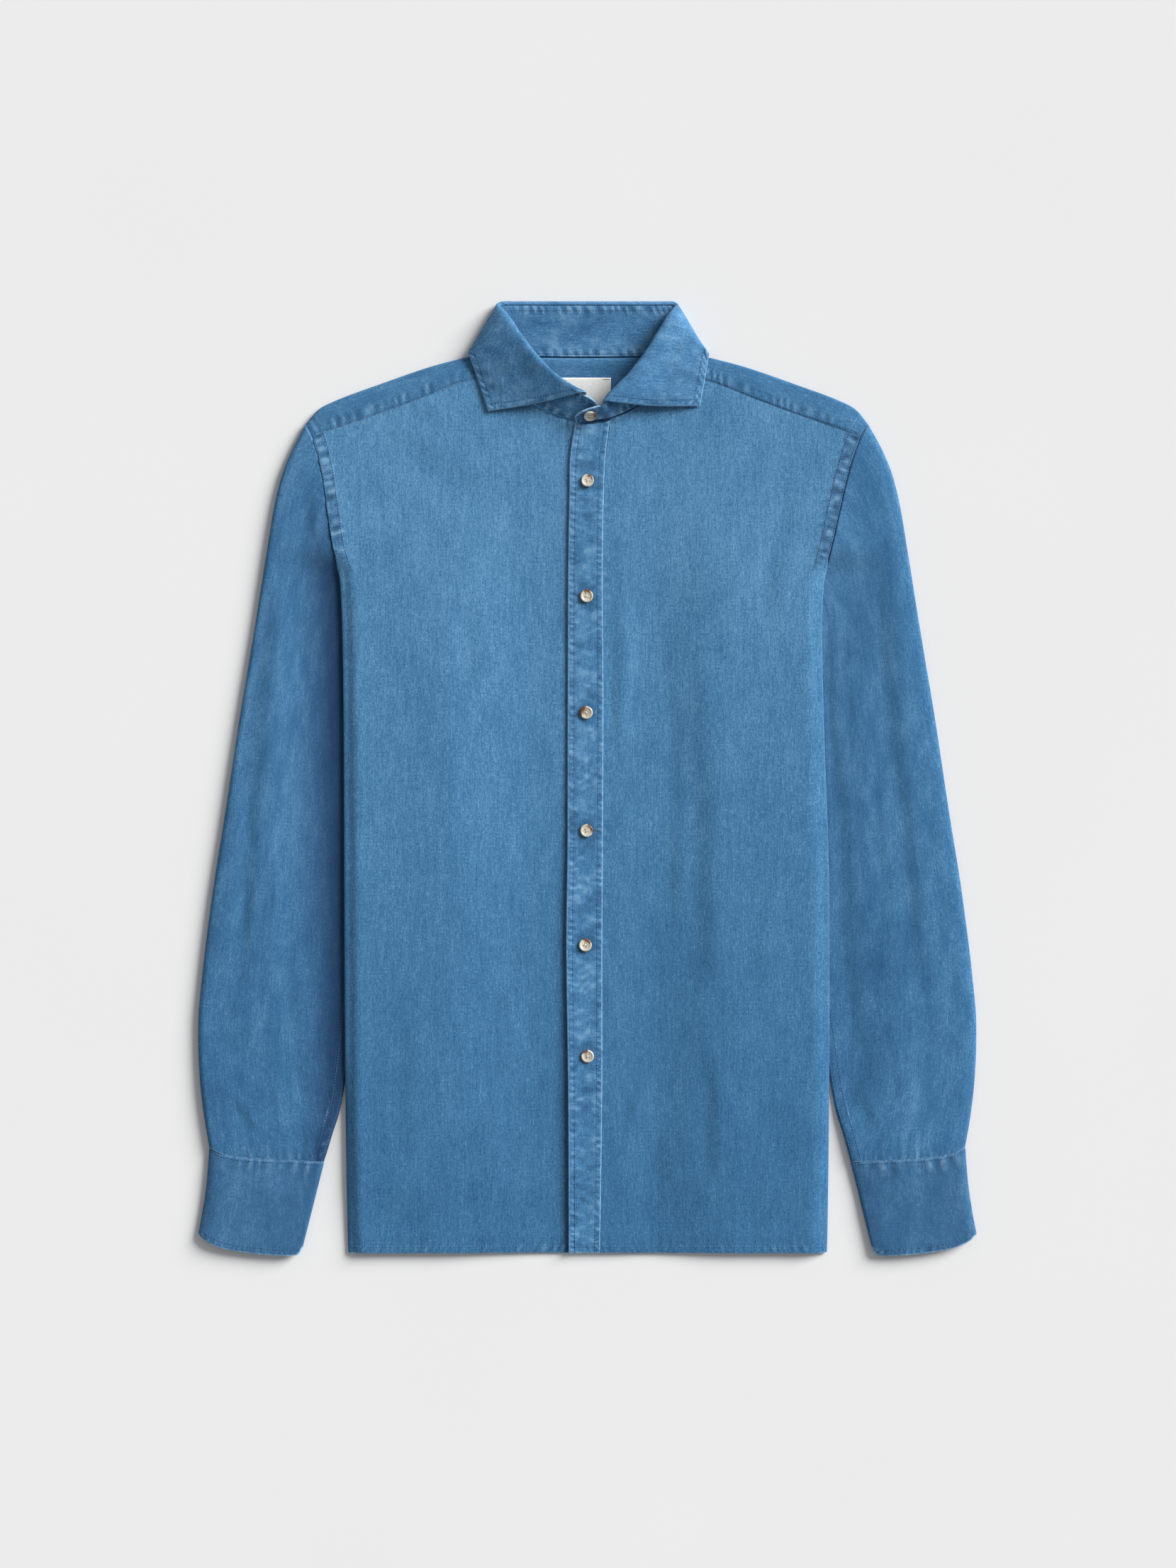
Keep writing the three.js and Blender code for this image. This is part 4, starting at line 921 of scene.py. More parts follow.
def placket():
    """The buttonhole band, drawn in by its stitches and held down by its buttons."""
    width = spaced(PLACKET_WIDTH, 1.5, dense_from=True, dense_to=True) / PLACKET_WIDTH
    v = (spaced(NECK_Y - HEM_Y, 1.6, dense_from=True, dense_to=True) / (NECK_Y - HEM_Y))[:, None]
    straight = mix(HEM_Y, NECK_Y, v)
    x = mix(placket_left(straight), placket_right(straight), width)
    y = mix(HEM_Y, read(NECKLINE, "x", "y", x) - COLLAR_CLOTH, v)
    z = front_height(0 * x, y) + SOLID_CLOTH / 2 + REST + SOLID_PLACKET / 2
    from_left, from_right = width * PLACKET_WIDTH + 0 * x, (1 - width) * PLACKET_WIDTH + 0 * x
    hem = y - HEM_Y
    ripples = gathered(PLACKET_PUCKERS, {
        "left": (from_left, y, 1), "right": (from_right, y, 1), "hem": (hem, x, 1)})
    ripples = ripples + 0.14 * (
        patches((x + 0.5 * y) / 8 + 80, (y - 0.5 * x) / 3.4 + 150, 74)
        + patches((x - 0.3 * y) / 11 + 80, (y + 0.4 * x) / 2.8 + 150, 73) + patches(x / 14 + 30, y / 8 + 60, 75))
    for bx, by in path(BUTTONS):
        gap = np.hypot(x - bx, (y - by) / 1.25)
        pulled = 0.16 * bump((gap - 13) / 4.0) * patches(x / 6 + 50, y / 4 + 50, 77)
        ripples = ripples - 0.30 * bump((gap - 3) / 5.5) + pulled
    curl = PLACKET_CURL * bump(from_left / 9) * soft((60 - y) / 240)
    groove = bump((from_left - STITCHED_LEFT) / 0.7) + bump((from_right - STITCHED_RIGHT) / 0.7)
    edge = np.minimum(np.minimum(from_left, from_right + 0.5), hem * 1.3)
    rim = np.minimum(np.minimum(from_left, from_right), hem)
    return [{
        "p": np.stack([x, y, z], -1), "uv": np.stack([x, y], -1) * MM, "lift": ripples - GROOVE * groove + curl,
        "edge": edge, "crest": np.clip(ripples / 0.22, -1, 1), "shade": 0.30 * groove,
        "thick": mix(0.3, 1, arc(rim / 1.1)),
    }]


cloth("buttonhole_placket", "placket", placket(), PLACKET_CLOTH, DENIM["placket"], "trim_denim")


# Back

def back_edge(y, side):
    """How far the back reaches from the middle."""
    armhole = read(SLEEVE_HEAD_BACK, "y", side_name(side), y) - BACK_SEAM
    return np.where(y <= ARMPIT_Y, body_edge(y, side) - FLAP - SEAM, armhole)


def back():
    """The back between its side seams, which lie below the fronts."""
    y = np.concatenate([np.linspace(HEM_Y, ARMPIT_Y, 60),
                        np.linspace(ARMPIT_Y, YOKE_BACK_Y - SEAM, 24)[1:]])[:, None]
    x = mix(-back_edge(y, -1), back_edge(y, 1), np.linspace(0, 1, 40))
    y = y + 0 * x
    return [{"p": np.stack([x, y, 0 * x + SOLID_CLOTH / 2], -1), "uv": np.stack([x, y], -1) * MM,
             "edge": (y - HEM_Y) * 1.3}]


cloth("back_panel", "back", back(), SOLID_CLOTH, DENIM["body"], "body_denim")


# Yoke

UNDER_STEPS = [0, 0.03, 0.06, 0.1, 0.16, 0.25, 0.4, 0.6, 0.8, 1]      # shares of the way from ridge to back seam
SHOULDER_LONG = 170      # from the armhole to the neck


def shoulder(side):
    """One shoulder from its seam over the ridge to the back, with how far each point is from the seam
    and along it."""
    seam = Curve((path(YOKE_SEAM) + (0, CLOSED_SEAM))[::-1])
    ridge = flat_curve(SHOULDER_RIDGE)
    armhole = float(read(SLEEVE_HEAD_BACK, "y", side_name(side), YOKE_BACK_Y)) - BACK_SEAM
    t = spaced(SHOULDER_LONG, 2.3, dense_from=True)[:, None] / SHOULDER_LONG
    f, r = seam.at(t[:, 0]), ridge.at(t[:, 0])
    b = np.concatenate([mix(armhole, YOKE_MIDDLE, t), np.full(t.shape, float(YOKE_BACK_Y))], 1)
    near_end = 1 - soft(t[:, 0] * 6)
    f[:, 0] -= (1.2 if side > 0 else 0.0) * near_end
    r[:, 0] += (0.0 if side > 0 else 0.6) * near_end
    out = r - f
    length = np.linalg.norm(out, axis=1, keepdims=True)
    out /= length
    way_back = r - b
    way_back /= np.linalg.norm(way_back, axis=1, keepdims=True)
    rows, gap = [], []
    for k in spaced(1, 0.09)[:-1]:
        p = f + out * (length - RIDGE_RADIUS) * k
        near = np.clip(1 - (length[:, 0] - RIDGE_RADIUS) * (1 - k) / SHOULDER_ROUND, 0, 1)
        high = front_height(p[:, 0], p[:, 1]) - SHOULDER_DROP * near**2
        rows.append(np.concatenate([p, high[:, None]], 1))
        gap.append((length[:, 0] - RIDGE_RADIUS) * k)
    turn, fall = r - out * RIDGE_RADIUS, r - way_back * RIDGE_RADIUS
    high = front_height(turn[:, 0], turn[:, 1]) - SHOULDER_DROP
    low = yoke_under(fall[:, 0], fall[:, 1])[:, 2]
    for degrees in np.linspace(0, 160, 9):
        angle = math.radians(degrees)
        way = out if degrees < 90 else way_back
        p = r + way * RIDGE_RADIUS * (math.sin(angle) - 1)
        rows.append(np.concatenate([p, mix(low, high, (1 + math.cos(angle)) / 2)[:, None]], 1))
        gap.append(length[:, 0] + RIDGE_RADIUS * (math.sin(angle / 2) ** 2 * 4 - 1))
    for k in UNDER_STEPS:
        p = mix(fall, b, k)
        rows.append(yoke_under(p[:, 0], p[:, 1]))
        gap.append(length[:, 0] + RIDGE_RADIUS * 3 + np.linalg.norm(p - fall, axis=1))
    p = np.stack(rows, 1)
    return p, np.stack(gap, 1), t[:, 0] * 165


def yoke():
    """Both shoulders, and between them the part that goes round below the collar."""
    parts, ends = [], {}
    for side in (-1, 1):
        p, gap, run = shoulder(side)
        shown = (np.arange(p.shape[1]) < p.shape[1] - len(UNDER_STEPS) - 5)[None, :]
        x, y = p[..., 0], p[..., 1]
        run = run[:, None] + 0 * gap
        hole, hole_run = beside(ARMHOLE_LINE[side][:3], x, y)
        ripples = shown * gathered(
            YOKE_PUCKERS, {"seam": (gap, run, 1), "armhole": (hole, hole_run + gap, 1)}, side)
        edge = np.minimum(gap + 0.55, np.where(shown, np.abs(hole - BAND_WIDTH) + 1.0, 40))
        uv = np.stack([gap, side * x], -1) * MM
        parts.append({
            "p": p * (side, 1, 1), "uv": uv, "lift": ripples + 0.12 * patches(x / 14 + 30, y / 14, 98) * shown,
            "edge": np.where(shown, edge, 40), "crest": ripples / 0.3, "shade": 0.10 * shown + 0 * gap,
            "thick": mix(0.45, 1, arc(gap / 0.9))})
        ends[side] = p[-1, -len(UNDER_STEPS):]
    end = ends[1]
    line = Curve([(-end[0][0], end[0][1]), *YOKE_CENTRE])
    rows = []
    for t in np.linspace(1, -1, 45):
        away = 1 if t >= 0 else -1
        if abs(t) == 1:
            rows.append(end * (t, 1, 1))
            continue
        x, y = line.at(np.array(1 - abs(t)))
        k = np.array(UNDER_STEPS)
        rows.append(yoke_under(away * mix(-x, YOKE_MIDDLE * abs(t), k), mix(y, YOKE_BACK_Y, k)))
    p = np.stack(rows, 0)
    parts[0]["p"][-1, -len(UNDER_STEPS):] = end * (-1, 1, 1)
    parts.insert(1, {"p": p, "uv": p[..., [1, 0]] * MM, "edge": 40.0})
    return parts


cloth("yoke_panel", "yoke", yoke(), CLOTH, DENIM["yoke"], "body_denim")


# Sleeves and cuffs

ARMHOLE_TURN_Y = 178         # the body's edge is followed up to here
SLEEVE_WIDE, SLEEVE_LONG, CUFF_WIDE, CUFF_DEEP = 105, 620, 93, 76


def from_body(x, y, side):
    """How far a place lies outside the body's edge."""
    return x - body_edge(np.minimum(y, ARMHOLE_TURN_Y), side)


def sleeve_height(x, y, side):
    """The sleeve lies low beside the body, rises to its crest, and rounds down at its outer fold."""
    low = mix(SLEEVE_LOW, SLEEVE_CREST, soft((from_body(x, y, side) - 1.5) / 66))
    lower = mix(low, mix(5.6, SLEEVE_CREST, soft((x - 225) / 45)), soft((-265 - y) / 50))
    outer = read(SLEEVE_OUTER, "y", "x", y) - x
    return mix(lower, 6.9, soft((y - 172) / 24)) - SLEEVE_ROUND[side] * np.clip(1 - outer / 16, 0, 1) ** 2


def flattened_tube(over, under, heights, outer_fold, inner_fold, half, u_over, u_under, v):
    """Rings of a tube that lies flat: the upper layer from outer to inner edge, and back below.
    Gives the points, which of them show, their shares from the outer edge and round, and the width."""
    v = v[:, None]
    ends = over(np.array([0.0, 1.0]), v)
    width = np.hypot(*(ends[:, 0] - ends[:, 1]).T)[:, None]

    def layer(patch, u, top):
        p = patch(u, v)
        x, y = p[..., 0], p[..., 1]
        high = heights(x, y)
        middle = mix(half, high, 0.5)
        bend = arc(u * width / outer_fold) * arc((1 - u) * width / inner_fold(y))
        return np.stack([x, y, mix(middle, high if top else half, bend)], -1)

    p = np.concatenate([layer(over, u_over, True), layer(under, u_under, False)], 1)
    shown = np.concatenate([np.ones(len(u_over)), np.zeros(len(u_under))])[None, :]
    return p, shown, np.concatenate([u_over, u_under]), np.concatenate([u_over, 2 - u_under]), width


def from_edges(width, step):
    """Shares across a width: close at both folded edges, a step apart between."""
    ends = np.array([0, 0.2, 0.7, 1.5, 2.6, 4.0, 5.8, 8.0, 10.5])
    inner = np.linspace(ends[-1], width - ends[-1], max(2, int((width - 2 * ends[-1]) / step)))
    return np.concatenate([ends, inner[1:-1], (width - ends)[::-1]]) / width


def sleeve(side):
    """A sleeve laid flat: puckered at cuff and armhole, felled under the arm, and with painted shadow from the
    body.
    """
    name = side_name(side)
    outer = path(SLEEVE_OUTER)
    outer[0, 0] = SLEEVE_HEAD_FRONT[name][0]
    edges = flat_curve(CUFF_SEAM).at, Curve(outer).at, flat_curve(SLEEVE_INNER, name).at
    p, shown, share, u, width = flattened_tube(
        coons(flat_curve(SLEEVE_HEAD_FRONT, name).at, *edges),
        coons(flat_curve(SLEEVE_HEAD_BACK, name).at, *edges),
        lambda x, y: sleeve_height(x, y, side), 4.5, lambda y: mix(1.6, 5, soft((-265 - y) / 40)),
        SOLID_CLOTH / 2, from_edges(SLEEVE_WIDE, 1.4), np.linspace(1, 0, 17)[1:],
        spaced(SLEEVE_LONG, 2.9, dense_to=True) / SLEEVE_LONG)
    x, y = p[..., 0], p[..., 1]
    outside = from_body(x, y, side)
    clear = np.maximum(soft((outside + 2) / 9), soft((-262 - y) / 30)) * shown * arc(share * shown * width / 10)
    gap, run = beside(path(CUFF_SEAM), x, y)
    inner_gap = (1 - share) * width
    underarm = soft((-150 - y) / 60)
    hole, hole_run = beside(ARMHOLE_LINE[side], x, y)
    ripples = clear * gathered(SLEEVE_PUCKERS, {
        "stitched": (gap, run, soft(gap / 1.5)), "cuff": (gap, run, 1), "underarm": (inner_gap, y, underarm),
        "armhole": (hole, hole_run, soft((y - 160) / 30))}, side)
    band = soft((9.6 - inner_gap) / 1.2) * underarm * shown
    # Painted shadow that the body casts on the sleeve beside it: deep and wide on the wearer's right, faint and
    # narrow on the left.
    deep, reach = (1.05, 27) if side < 0 else (0.14, 8)
    painted_body_shadow = deep * bump(np.maximum(outside, 0) / reach) * soft((205 - y) / 45)
    # On the wearer's right also painted shade over the whole sleeve, a painted dark patch by the armpit, and
    # painted shade under the arm beside the body.
    if side < 0:
        painted_body_shadow = (painted_body_shadow + 0.10 + 0.34 * bump(np.hypot(x - 228, (y - 200) / 2.4) / 13)
                  + 0.10 * bump((outside - 8) / 14) * soft((-190 - y) / 40))
    detail = (body_detail(x + 700 * side, y) + side * 0.78 * creases(SLEEVE_CREASES[side], x, y)) * clear
    felled = np.where(underarm * shown > 0.4, np.abs(inner_gap - 9.2) + 0.9, 40)
    return [{
        "p": p * (side, 1, 1), "uv": np.stack([side * u * width, y - 0.10 * (x - 260)], -1) * MM,
        "lift": ripples + detail + 0.25 * band * clear, "edge": np.minimum(felled, gap + 0.8),
        "crest": ripples / 0.42,
        "shade": 0.14 * band + (painted_body_shadow + 0.08 * soft((12 - gap) / 12)) * shown}]


for side, word in SIDES:
    cloth(f"{word}_sleeve", f"sleeve_{word}", sleeve(side), CLOTH, DENIM["sleeve"], "sleeve_denim")


def cuff(side):
    """A closed cuff laid flat, from its seam to its end."""
    seam, end = Curve(path(CUFF_SEAM) - (0, CLOSED_SEAM)), flat_curve(CUFF_END)
    a0, a1, b0, b1 = seam.at(0.0), end.at(0.0), seam.at(1.0), end.at(1.0)

    def outer(v):
        v = np.asarray(v, float)
        return np.stack([mix(a0[0], a1[0], v) - 1.6 * np.sin(v * np.pi), mix(a0[1], a1[1], v)], -1)

    def inner(v):
        return mix(b0, b1, np.asarray(v, float)[..., None])

    def back_end(u):
        p = end.at(u)
        p[..., 1] += 3 * np.sin(np.asarray(u) * np.pi)
        return p

    def heights(x, y):
        if side < 0:
            fold_gap = mix(a0[0], a1[0], (a0[1] - y) / (a0[1] - a1[1])) - x
        else:
            fold_gap = x - mix(b0[0], b1[0], (b0[1] - y) / (b0[1] - b1[1]))
        return mix(5.8, 6.9, soft((x - 225) / 45)) - 1.5 * np.clip(1 - fold_gap / 18, 0, 1) ** 2

    p, shown, share, u, width = flattened_tube(
        coons(seam.at, end.at, outer, inner), coons(seam.at, back_end, outer, inner), heights, 7, lambda y: 5,
        CUFF_CLOTH / 2 + 0.08, from_edges(CUFF_WIDE, 1.9), np.linspace(1, 0, 15)[1:],
        spaced(CUFF_DEEP, 2.2, dense_from=True, dense_to=True) / CUFF_DEEP)
    x, y = p[..., 0], p[..., 1]
    flat = shown * arc(share * width / 7) * arc((1 - share) * width / 5)
    below, run = beside(path(CUFF_SEAM) - (0, SEAM), x, y)
    above, end_run = beside(path(CUFF_END), x, y)
    ripples = flat * (
        gathered(CUFF_PUCKERS, {"seam": (below, run, 1), "end": (above, end_run, 1)}, side)
        + 0.10 * patches(x / 9 + 60, y / 7 + 90, 138 + side))
    detail = 0.25 * patches(x / 26 + 60, y / 22 + 90, 142 + side) * flat
    # Painted shadow that the body casts on the cuff, stronger on the wearer's right.
    painted_body_shadow = (0.42 if side < 0 else 0.22) * bump(np.maximum(x - body_edge(HEM_Y, side), 0) / 27)
    rim = np.minimum(below, above)
    return [{
        "p": p * (side, 1, 1), "uv": np.stack([side * u * width, y], -1) * MM, "lift": ripples + detail,
        "edge": np.minimum(below + 1.0, above + 0.3), "crest": ripples / 0.38, "shade": painted_body_shadow * shown,
        "thick": mix(0.3, 1, arc(rim / 1.2))}]


for side, word in SIDES:
    cloth(f"{word}_cuff", f"cuff_{word}", cuff(side), CUFF_CLOTH, DENIM["cuff"], "trim_denim")


# Collar

collar_rows = (COLLAR_RIGHT + COLLAR_FOLD + [COLLAR_CENTRE]
               + [[(-x, y, z) for x, y, z in row] for row in COLLAR_FOLD[::-1]] + COLLAR_LEFT)
LEAF_STITCHED = 5.8      # from the leaf's edges to its topstitching


def along(points, t):
    return Curve(points, 24).by_section(t)


def leaf():
    """The leaf as a grid of sections, with how far each point is from its outer edge and along it."""
    t = np.linspace(0, 1, 481)
    lines = [along([row[k] for row in collar_rows], t) for k in range(1, 6)]
    share = np.concatenate([[0, 0.03, 0.06, 0.09, 0.12, 0.16, 0.2, 0.25], np.linspace(0.3, 0.86, 12),
                            [0.9, 0.925, 0.95, 0.97, 0.985, 0.995, 1]])
    p, lengths = [], []
    for points in zip(*lines):
        section = Curve(points, 20)
        p.append(section.at(share))
        lengths.append(section.length)
    p, lengths = np.array(p), np.array(lengths)[:, None]
    gap = (1 - share) * lengths
    steps = np.linalg.norm(np.diff(p, axis=0), axis=2)
    run = np.concatenate([np.zeros((1, p.shape[1])), np.cumsum(steps, 0)])
    front_gap = np.minimum(run, run[-1:] - run)
    x, y, z = p[..., 0], p[..., 1], p[..., 2]
    shown = soft((z - 3) / 4)
    rim = np.minimum(gap, front_gap)
    ripples = shown * (
        gathered(LEAF_PUCKERS, {"edge": (gap, run, 1), "front": (front_gap, gap, 1)})
        + 0.16 * patches(x / 7 + 40, y / 6 + 30, 156))
    detail = (0.22 * patches(x / 22 + 60, y / 20 + 60, 158) + creases(COLLAR_CREASES, x, y)) * shown
    p[..., 2] = np.maximum(z, COLLAR_CLOTH / 2)
    grid = {
        "p": p, "uv": np.stack([run + share * lengths, run - share * lengths], -1) * (0.7 * MM),
        "lift": ripples + detail, "edge": rim + 0.55, "crest": ripples / 0.25,
        "shade": 0.26 * bump((rim - LEAF_STITCHED) / 0.8) * shown, "thick": mix(0.3, 1, arc(rim / 1.1))}
    return grid, gap, run


leaf_grid, leaf_gap, leaf_run = leaf()
cloth("collar_leaf_fold", "collar_leaf", [leaf_grid], COLLAR_CLOTH, DENIM["collar"], "trim_denim")


def band():
    """The band as a grid from its seam up, with its height all along."""
    rows = list(BAND_UNDER)
    for row in collar_rows:
        neck, start = np.array(row[:2], float)
        way = neck - start
        rows.append((neck, start + way / np.linalg.norm(way) * 0.4))
    rows += BAND_OVER
    t = np.linspace(0, 1, 361)
    low, high = (along(line, t) for line in zip(*rows))
    share = np.concatenate([[0, 0.01, 0.03, 0.06], np.linspace(0.1, 0.88, 12), [0.92, 0.95, 0.98, 1]])
    p = low[:, None] + (high - low)[:, None] * share[None, :, None]
    p[..., 2] -= np.sin(share * np.pi) * 0.4
    tall = np.linalg.norm(high - low, axis=1)[:, None]
    step = np.linalg.norm(np.diff(p[:, 8], axis=0), axis=1)
    run = np.concatenate([[0], np.cumsum(step)])[:, None] + 0 * share
    from_seam, from_top = share * tall, (1 - share) * tall
    ends = np.minimum(run, run[-1:] - run)
    ripples = (gathered(BAND_PUCKERS, {"seam": (from_seam, run, 1), "top": (from_top, run, 1)})
               + 0.12 * patches(run / 9, from_seam / 7, 164))
    behind = bump(p[..., 0] / 68) * soft((p[..., 1] - 350) / 20)
    line = np.minimum(from_top, ends)
    edge = np.where(behind > 0.3, np.abs(from_seam - 0.4) + 0.5, np.where(ends < 26, line, ends))
    return {
        "p": p, "uv": np.stack([from_seam, run], -1) * MM, "lift": -ripples, "edge": edge,
        "crest": ripples / 0.15, "thick": mix(0.35, 1, arc(line / 1.1))}, tall


band_grid, band_tall = band()
cloth("collar_stand_band", "collar_band", [band_grid], COLLAR_CLOTH, DENIM["collar"], "trim_denim")


# Label

def label():
    """A bare woven tape that buckles a little between its stitched corners."""
    u, v = np.meshgrid(np.linspace(0, 1, 34), np.linspace(0, 1, 20))
    x, y = mix(LABEL["left"], LABEL["right"], u), mix(LABEL["low"], LABEL["high"], v)
    base = SOLID_CLOTH + REST + 0.5
    z = base + 0.55 * bump((v - 0.35) / 0.3) * (0.6 + 0.4 * np.cos(u * 5)) * soft(v * 9) * soft((1 - v) * 5)
    rim = np.minimum(np.minimum(u, 1 - u) * 49, np.minimum(v, 1 - v) * 26)
    return {"p": np.stack([x, y, z], -1), "uv": np.stack([x, y], -1) * MM, "thick": mix(0.5, 1, arc(rim / 1.2))}


cloth("neck_label_tape", "neck_label", [label()], LABEL_CLOTH, LABEL_TAPE, "label_cloth")


# Buttons: turned horn with a rim, a dished middle and four holes

HOLE_AT = 1.2            # from the middle lines to the middle of each hole
HOLE_RADIUS = 0.62
BUTTON_SIDES = 40
BUTTON_TILT = (0.05, 0.06)      # at most, across and along
COLLAR_BUTTON, COLLAR_FACING = (2.4, 307.2, 15.3), (0.06, -0.78, 0.62)      # on the band, and the way it faces
UPWARD, RIGHTWARD = Vector((0, 0, 1)), Vector((1, 0, 0))


def circle(radius, z, count, x=0.0, y=0.0):
    return [(x + radius * math.cos(a), y + radius * math.sin(a), z) for a in np.arange(count) * 2 * np.pi / count]


def raw_object(name, points, faces):
    mesh = bpy.data.meshes.new(name)
    mesh.from_pydata([tuple(c * MM for c in p) for p in points], [], faces)
    return put(name, mesh)


def baked(source):
    """The mesh that an object's modifiers make. The object itself goes."""
    made = bpy.data.meshes.new_from_object(source.evaluated_get(bpy.context.evaluated_depsgraph_get()))
    bpy.data.objects.remove(source)
    return made


def button_mesh():
    """A turned button with its back on the ground and four holes drilled through."""
    r, count = BUTTON_RADIUS, BUTTON_SIDES
    profile = [(r * 0.55, 0), (r - 0.9, 0.1), (r - 0.35, 0.4), (r - 0.05, 0.95), (r - 0.05, 1.5), (r - 0.25, 1.9),
               (r - 0.6, 2.12), (r - 1.0, 2.18), (r - 1.35, 2.1), (r - 1.65, 1.9), (r - 2.1, 1.74),
               (r - 2.8, 1.66), (0.9, 1.62)]
    places = [(0, 0, 0), *(p for radius, z in profile for p in circle(radius, z, count)), (0, 0, 1.62)]
    faces = []
    for k in range(count):
        n = (k + 1) % count
        faces.append((0, 1 + n, 1 + k))
        for a in range(1, 1 + (len(profile) - 1) * count, count):
            faces.append((a + k, a + n, a + count + n, a + count + k))
        last = 1 + (len(profile) - 1) * count
        faces.append((last + k, last + n, len(places) - 1))
    points, sides = [], []
    for x, y in ((-1, -1), (1, -1), (1, 1), (-1, 1)):
        base = len(points)
        for z in (-1, 4):
            points += circle(HOLE_RADIUS, z, 12, x * HOLE_AT, y * HOLE_AT)
        sides.append(tuple(range(base + 11, base - 1, -1)))
        sides.append(tuple(range(base + 12, base + 24)))
        sides += [(base + k, base + (k + 1) % 12, base + 12 + (k + 1) % 12, base + 12 + k) for k in range(12)]
    body, drill = raw_object("button", places, faces), raw_object("drill", points, sides)
    cut = body.modifiers.new("holes", "BOOLEAN")
    cut.object, cut.operation = drill, "DIFFERENCE"
    made = baked(body)
    bpy.data.objects.remove(drill)
    return made


def button(name, node, rotation, place):
    """Puts one button in its place, and lays its crossed threads."""
    mesh = blank.copy()
    face = mesh.uv_layers.new(name="face")
    for loop in mesh.loops:
        p = mesh.vertices[loop.vertex_index].co
        face.data[loop.index].uv = (p.x / (BUTTON_RADIUS * MM), p.y / (BUTTON_RADIUS * MM))
    turn = rotation.to_matrix()
    matrix = turn.to_4x4()
    matrix.translation = [c * MM for c in place]
    mesh.transform(matrix)
    mesh.shade_smooth()
    mesh.set_sharp_from_angle(angle=math.radians(50))
    mesh.materials.clear()
    mesh.materials.append(HORN)
    put(name, mesh, "button_horn", node)
    h = HOLE_AT
    for a, b in (((-h, -h), (h, h)), ((h, -h), (-h, h))):
        line = [Vector((mix(a[0], b[0], t), mix(a[1], b[1], t), 1.3 + 0.55 * math.sin(t * math.pi)))
                for t in np.linspace(0, 1, 9)]
        for shift in (-0.16, 0.16):
            side = Vector((b[1] - a[1], a[0] - b[0], 0)).normalized() * shift
            button_threads.append([turn @ (p + side) + Vector(place) for p in line])


blank = button_mesh()
button_threads = []
for i, (bx, by, turn) in enumerate(zip(*BUTTONS.values())):
    z = float(front_height(np.array(0.0), by)) + SOLID_CLOTH / 2 + REST + SOLID_PLACKET + REST - 0.25
    tilt = Vector((BUTTON_TILT[0] * math.sin(i * 2.1), BUTTON_TILT[1] * math.cos(i * 1.7), 1))
    twist = RIGHTWARD.rotation_difference(Vector((math.cos(math.radians(turn)), math.sin(math.radians(turn)), 0)))
    button(f"horn_button_{i + 1}", f"button_{i + 1}", UPWARD.rotation_difference(tilt) @ twist, (bx, by, z))
facing = Vector(COLLAR_FACING).normalized()
button("horn_button_collar", "button_collar", UPWARD.rotation_difference(facing),
       Vector(COLLAR_BUTTON) + facing * (COLLAR_CLOTH / 2 + 0.35))


# Sewing: rows of stitches laid by geometry nodes along lines dropped on the cloth

def stitch_tree():
    """Beads of thread at a pitch along lines, with the tree's inputs by name."""
    tree = bpy.data.node_groups.new("rows_of_stitches", "GeometryNodeTree")
    tree.interface.new_socket("Geometry", in_out="OUTPUT", socket_type="NodeSocketGeometry")
    named = {}
    for label, kind, value in (
            ("Geometry", "Geometry", None), ("Pitch", "Float", 0.0024), ("Length", "Float", 0.0018),
            ("Thread radius", "Float", 0.0003), ("Seed", "Int", 3), ("Across", "Bool", False),
            ("Material", "Material", None)):
        item = tree.interface.new_socket(label, in_out="INPUT", socket_type="NodeSocket" + kind)
        if value is not None:
            item.default_value = value
        named[label] = item.identifier
    n = Nodes(tree)
    given = n.add("NodeGroupInput").outputs
    line = n.add("GeometryNodeMeshToCurve", {"Mesh": given["Geometry"]}).outputs[0]
    upright = n.add("GeometryNodeSetCurveNormal", {"Curve": line}, mode="Z_UP")
    points = n.add("GeometryNodeCurveToPoints", {"Curve": upright.outputs[0], "Length": given["Pitch"]},
                   mode="LENGTH").outputs
    bead = n.add("GeometryNodeMeshUVSphere", {"Segments": 6, "Rings": 5, "Radius": 1.0}).outputs[0]
    half = n.times(given["Length"], 0.5)
    radius = given["Thread radius"]
    lengthwise = n.add("ShaderNodeCombineXYZ", {0: radius, 1: radius, 2: half}).outputs[0]
    crosswise = n.add("ShaderNodeCombineXYZ", {0: half, 1: radius, 2: radius}).outputs[0]
    size = n.add("GeometryNodeSwitch", {"Switch": given["Across"], "False": lengthwise, "True": crosswise},
                 input_type="VECTOR").outputs[0]
    uneven = n.add("FunctionNodeRandomValue", {2: 0.88, 3: 1.1, "Seed": given["Seed"]},
                   data_type="FLOAT").outputs[1]
    scale = n.add("ShaderNodeVectorMath", {0: size, "Scale": uneven}, operation="SCALE").outputs[0]
    laid = n.add("GeometryNodeInstanceOnPoints", {
        "Points": points["Points"], "Instance": bead, "Rotation": points["Rotation"], "Scale": scale})
    real = n.add("GeometryNodeRealizeInstances", {0: laid.outputs[0]}).outputs[0]
    smooth = n.add("GeometryNodeSetShadeSmooth", {"Geometry": real}).outputs[0]
    done = n.add("GeometryNodeSetMaterial", {"Geometry": smooth, "Material": given["Material"]}).outputs[0]
    n.add("NodeGroupOutput", {0: done})
    return tree, named


STITCH_TREE, STITCH_INPUTS = stitch_tree()


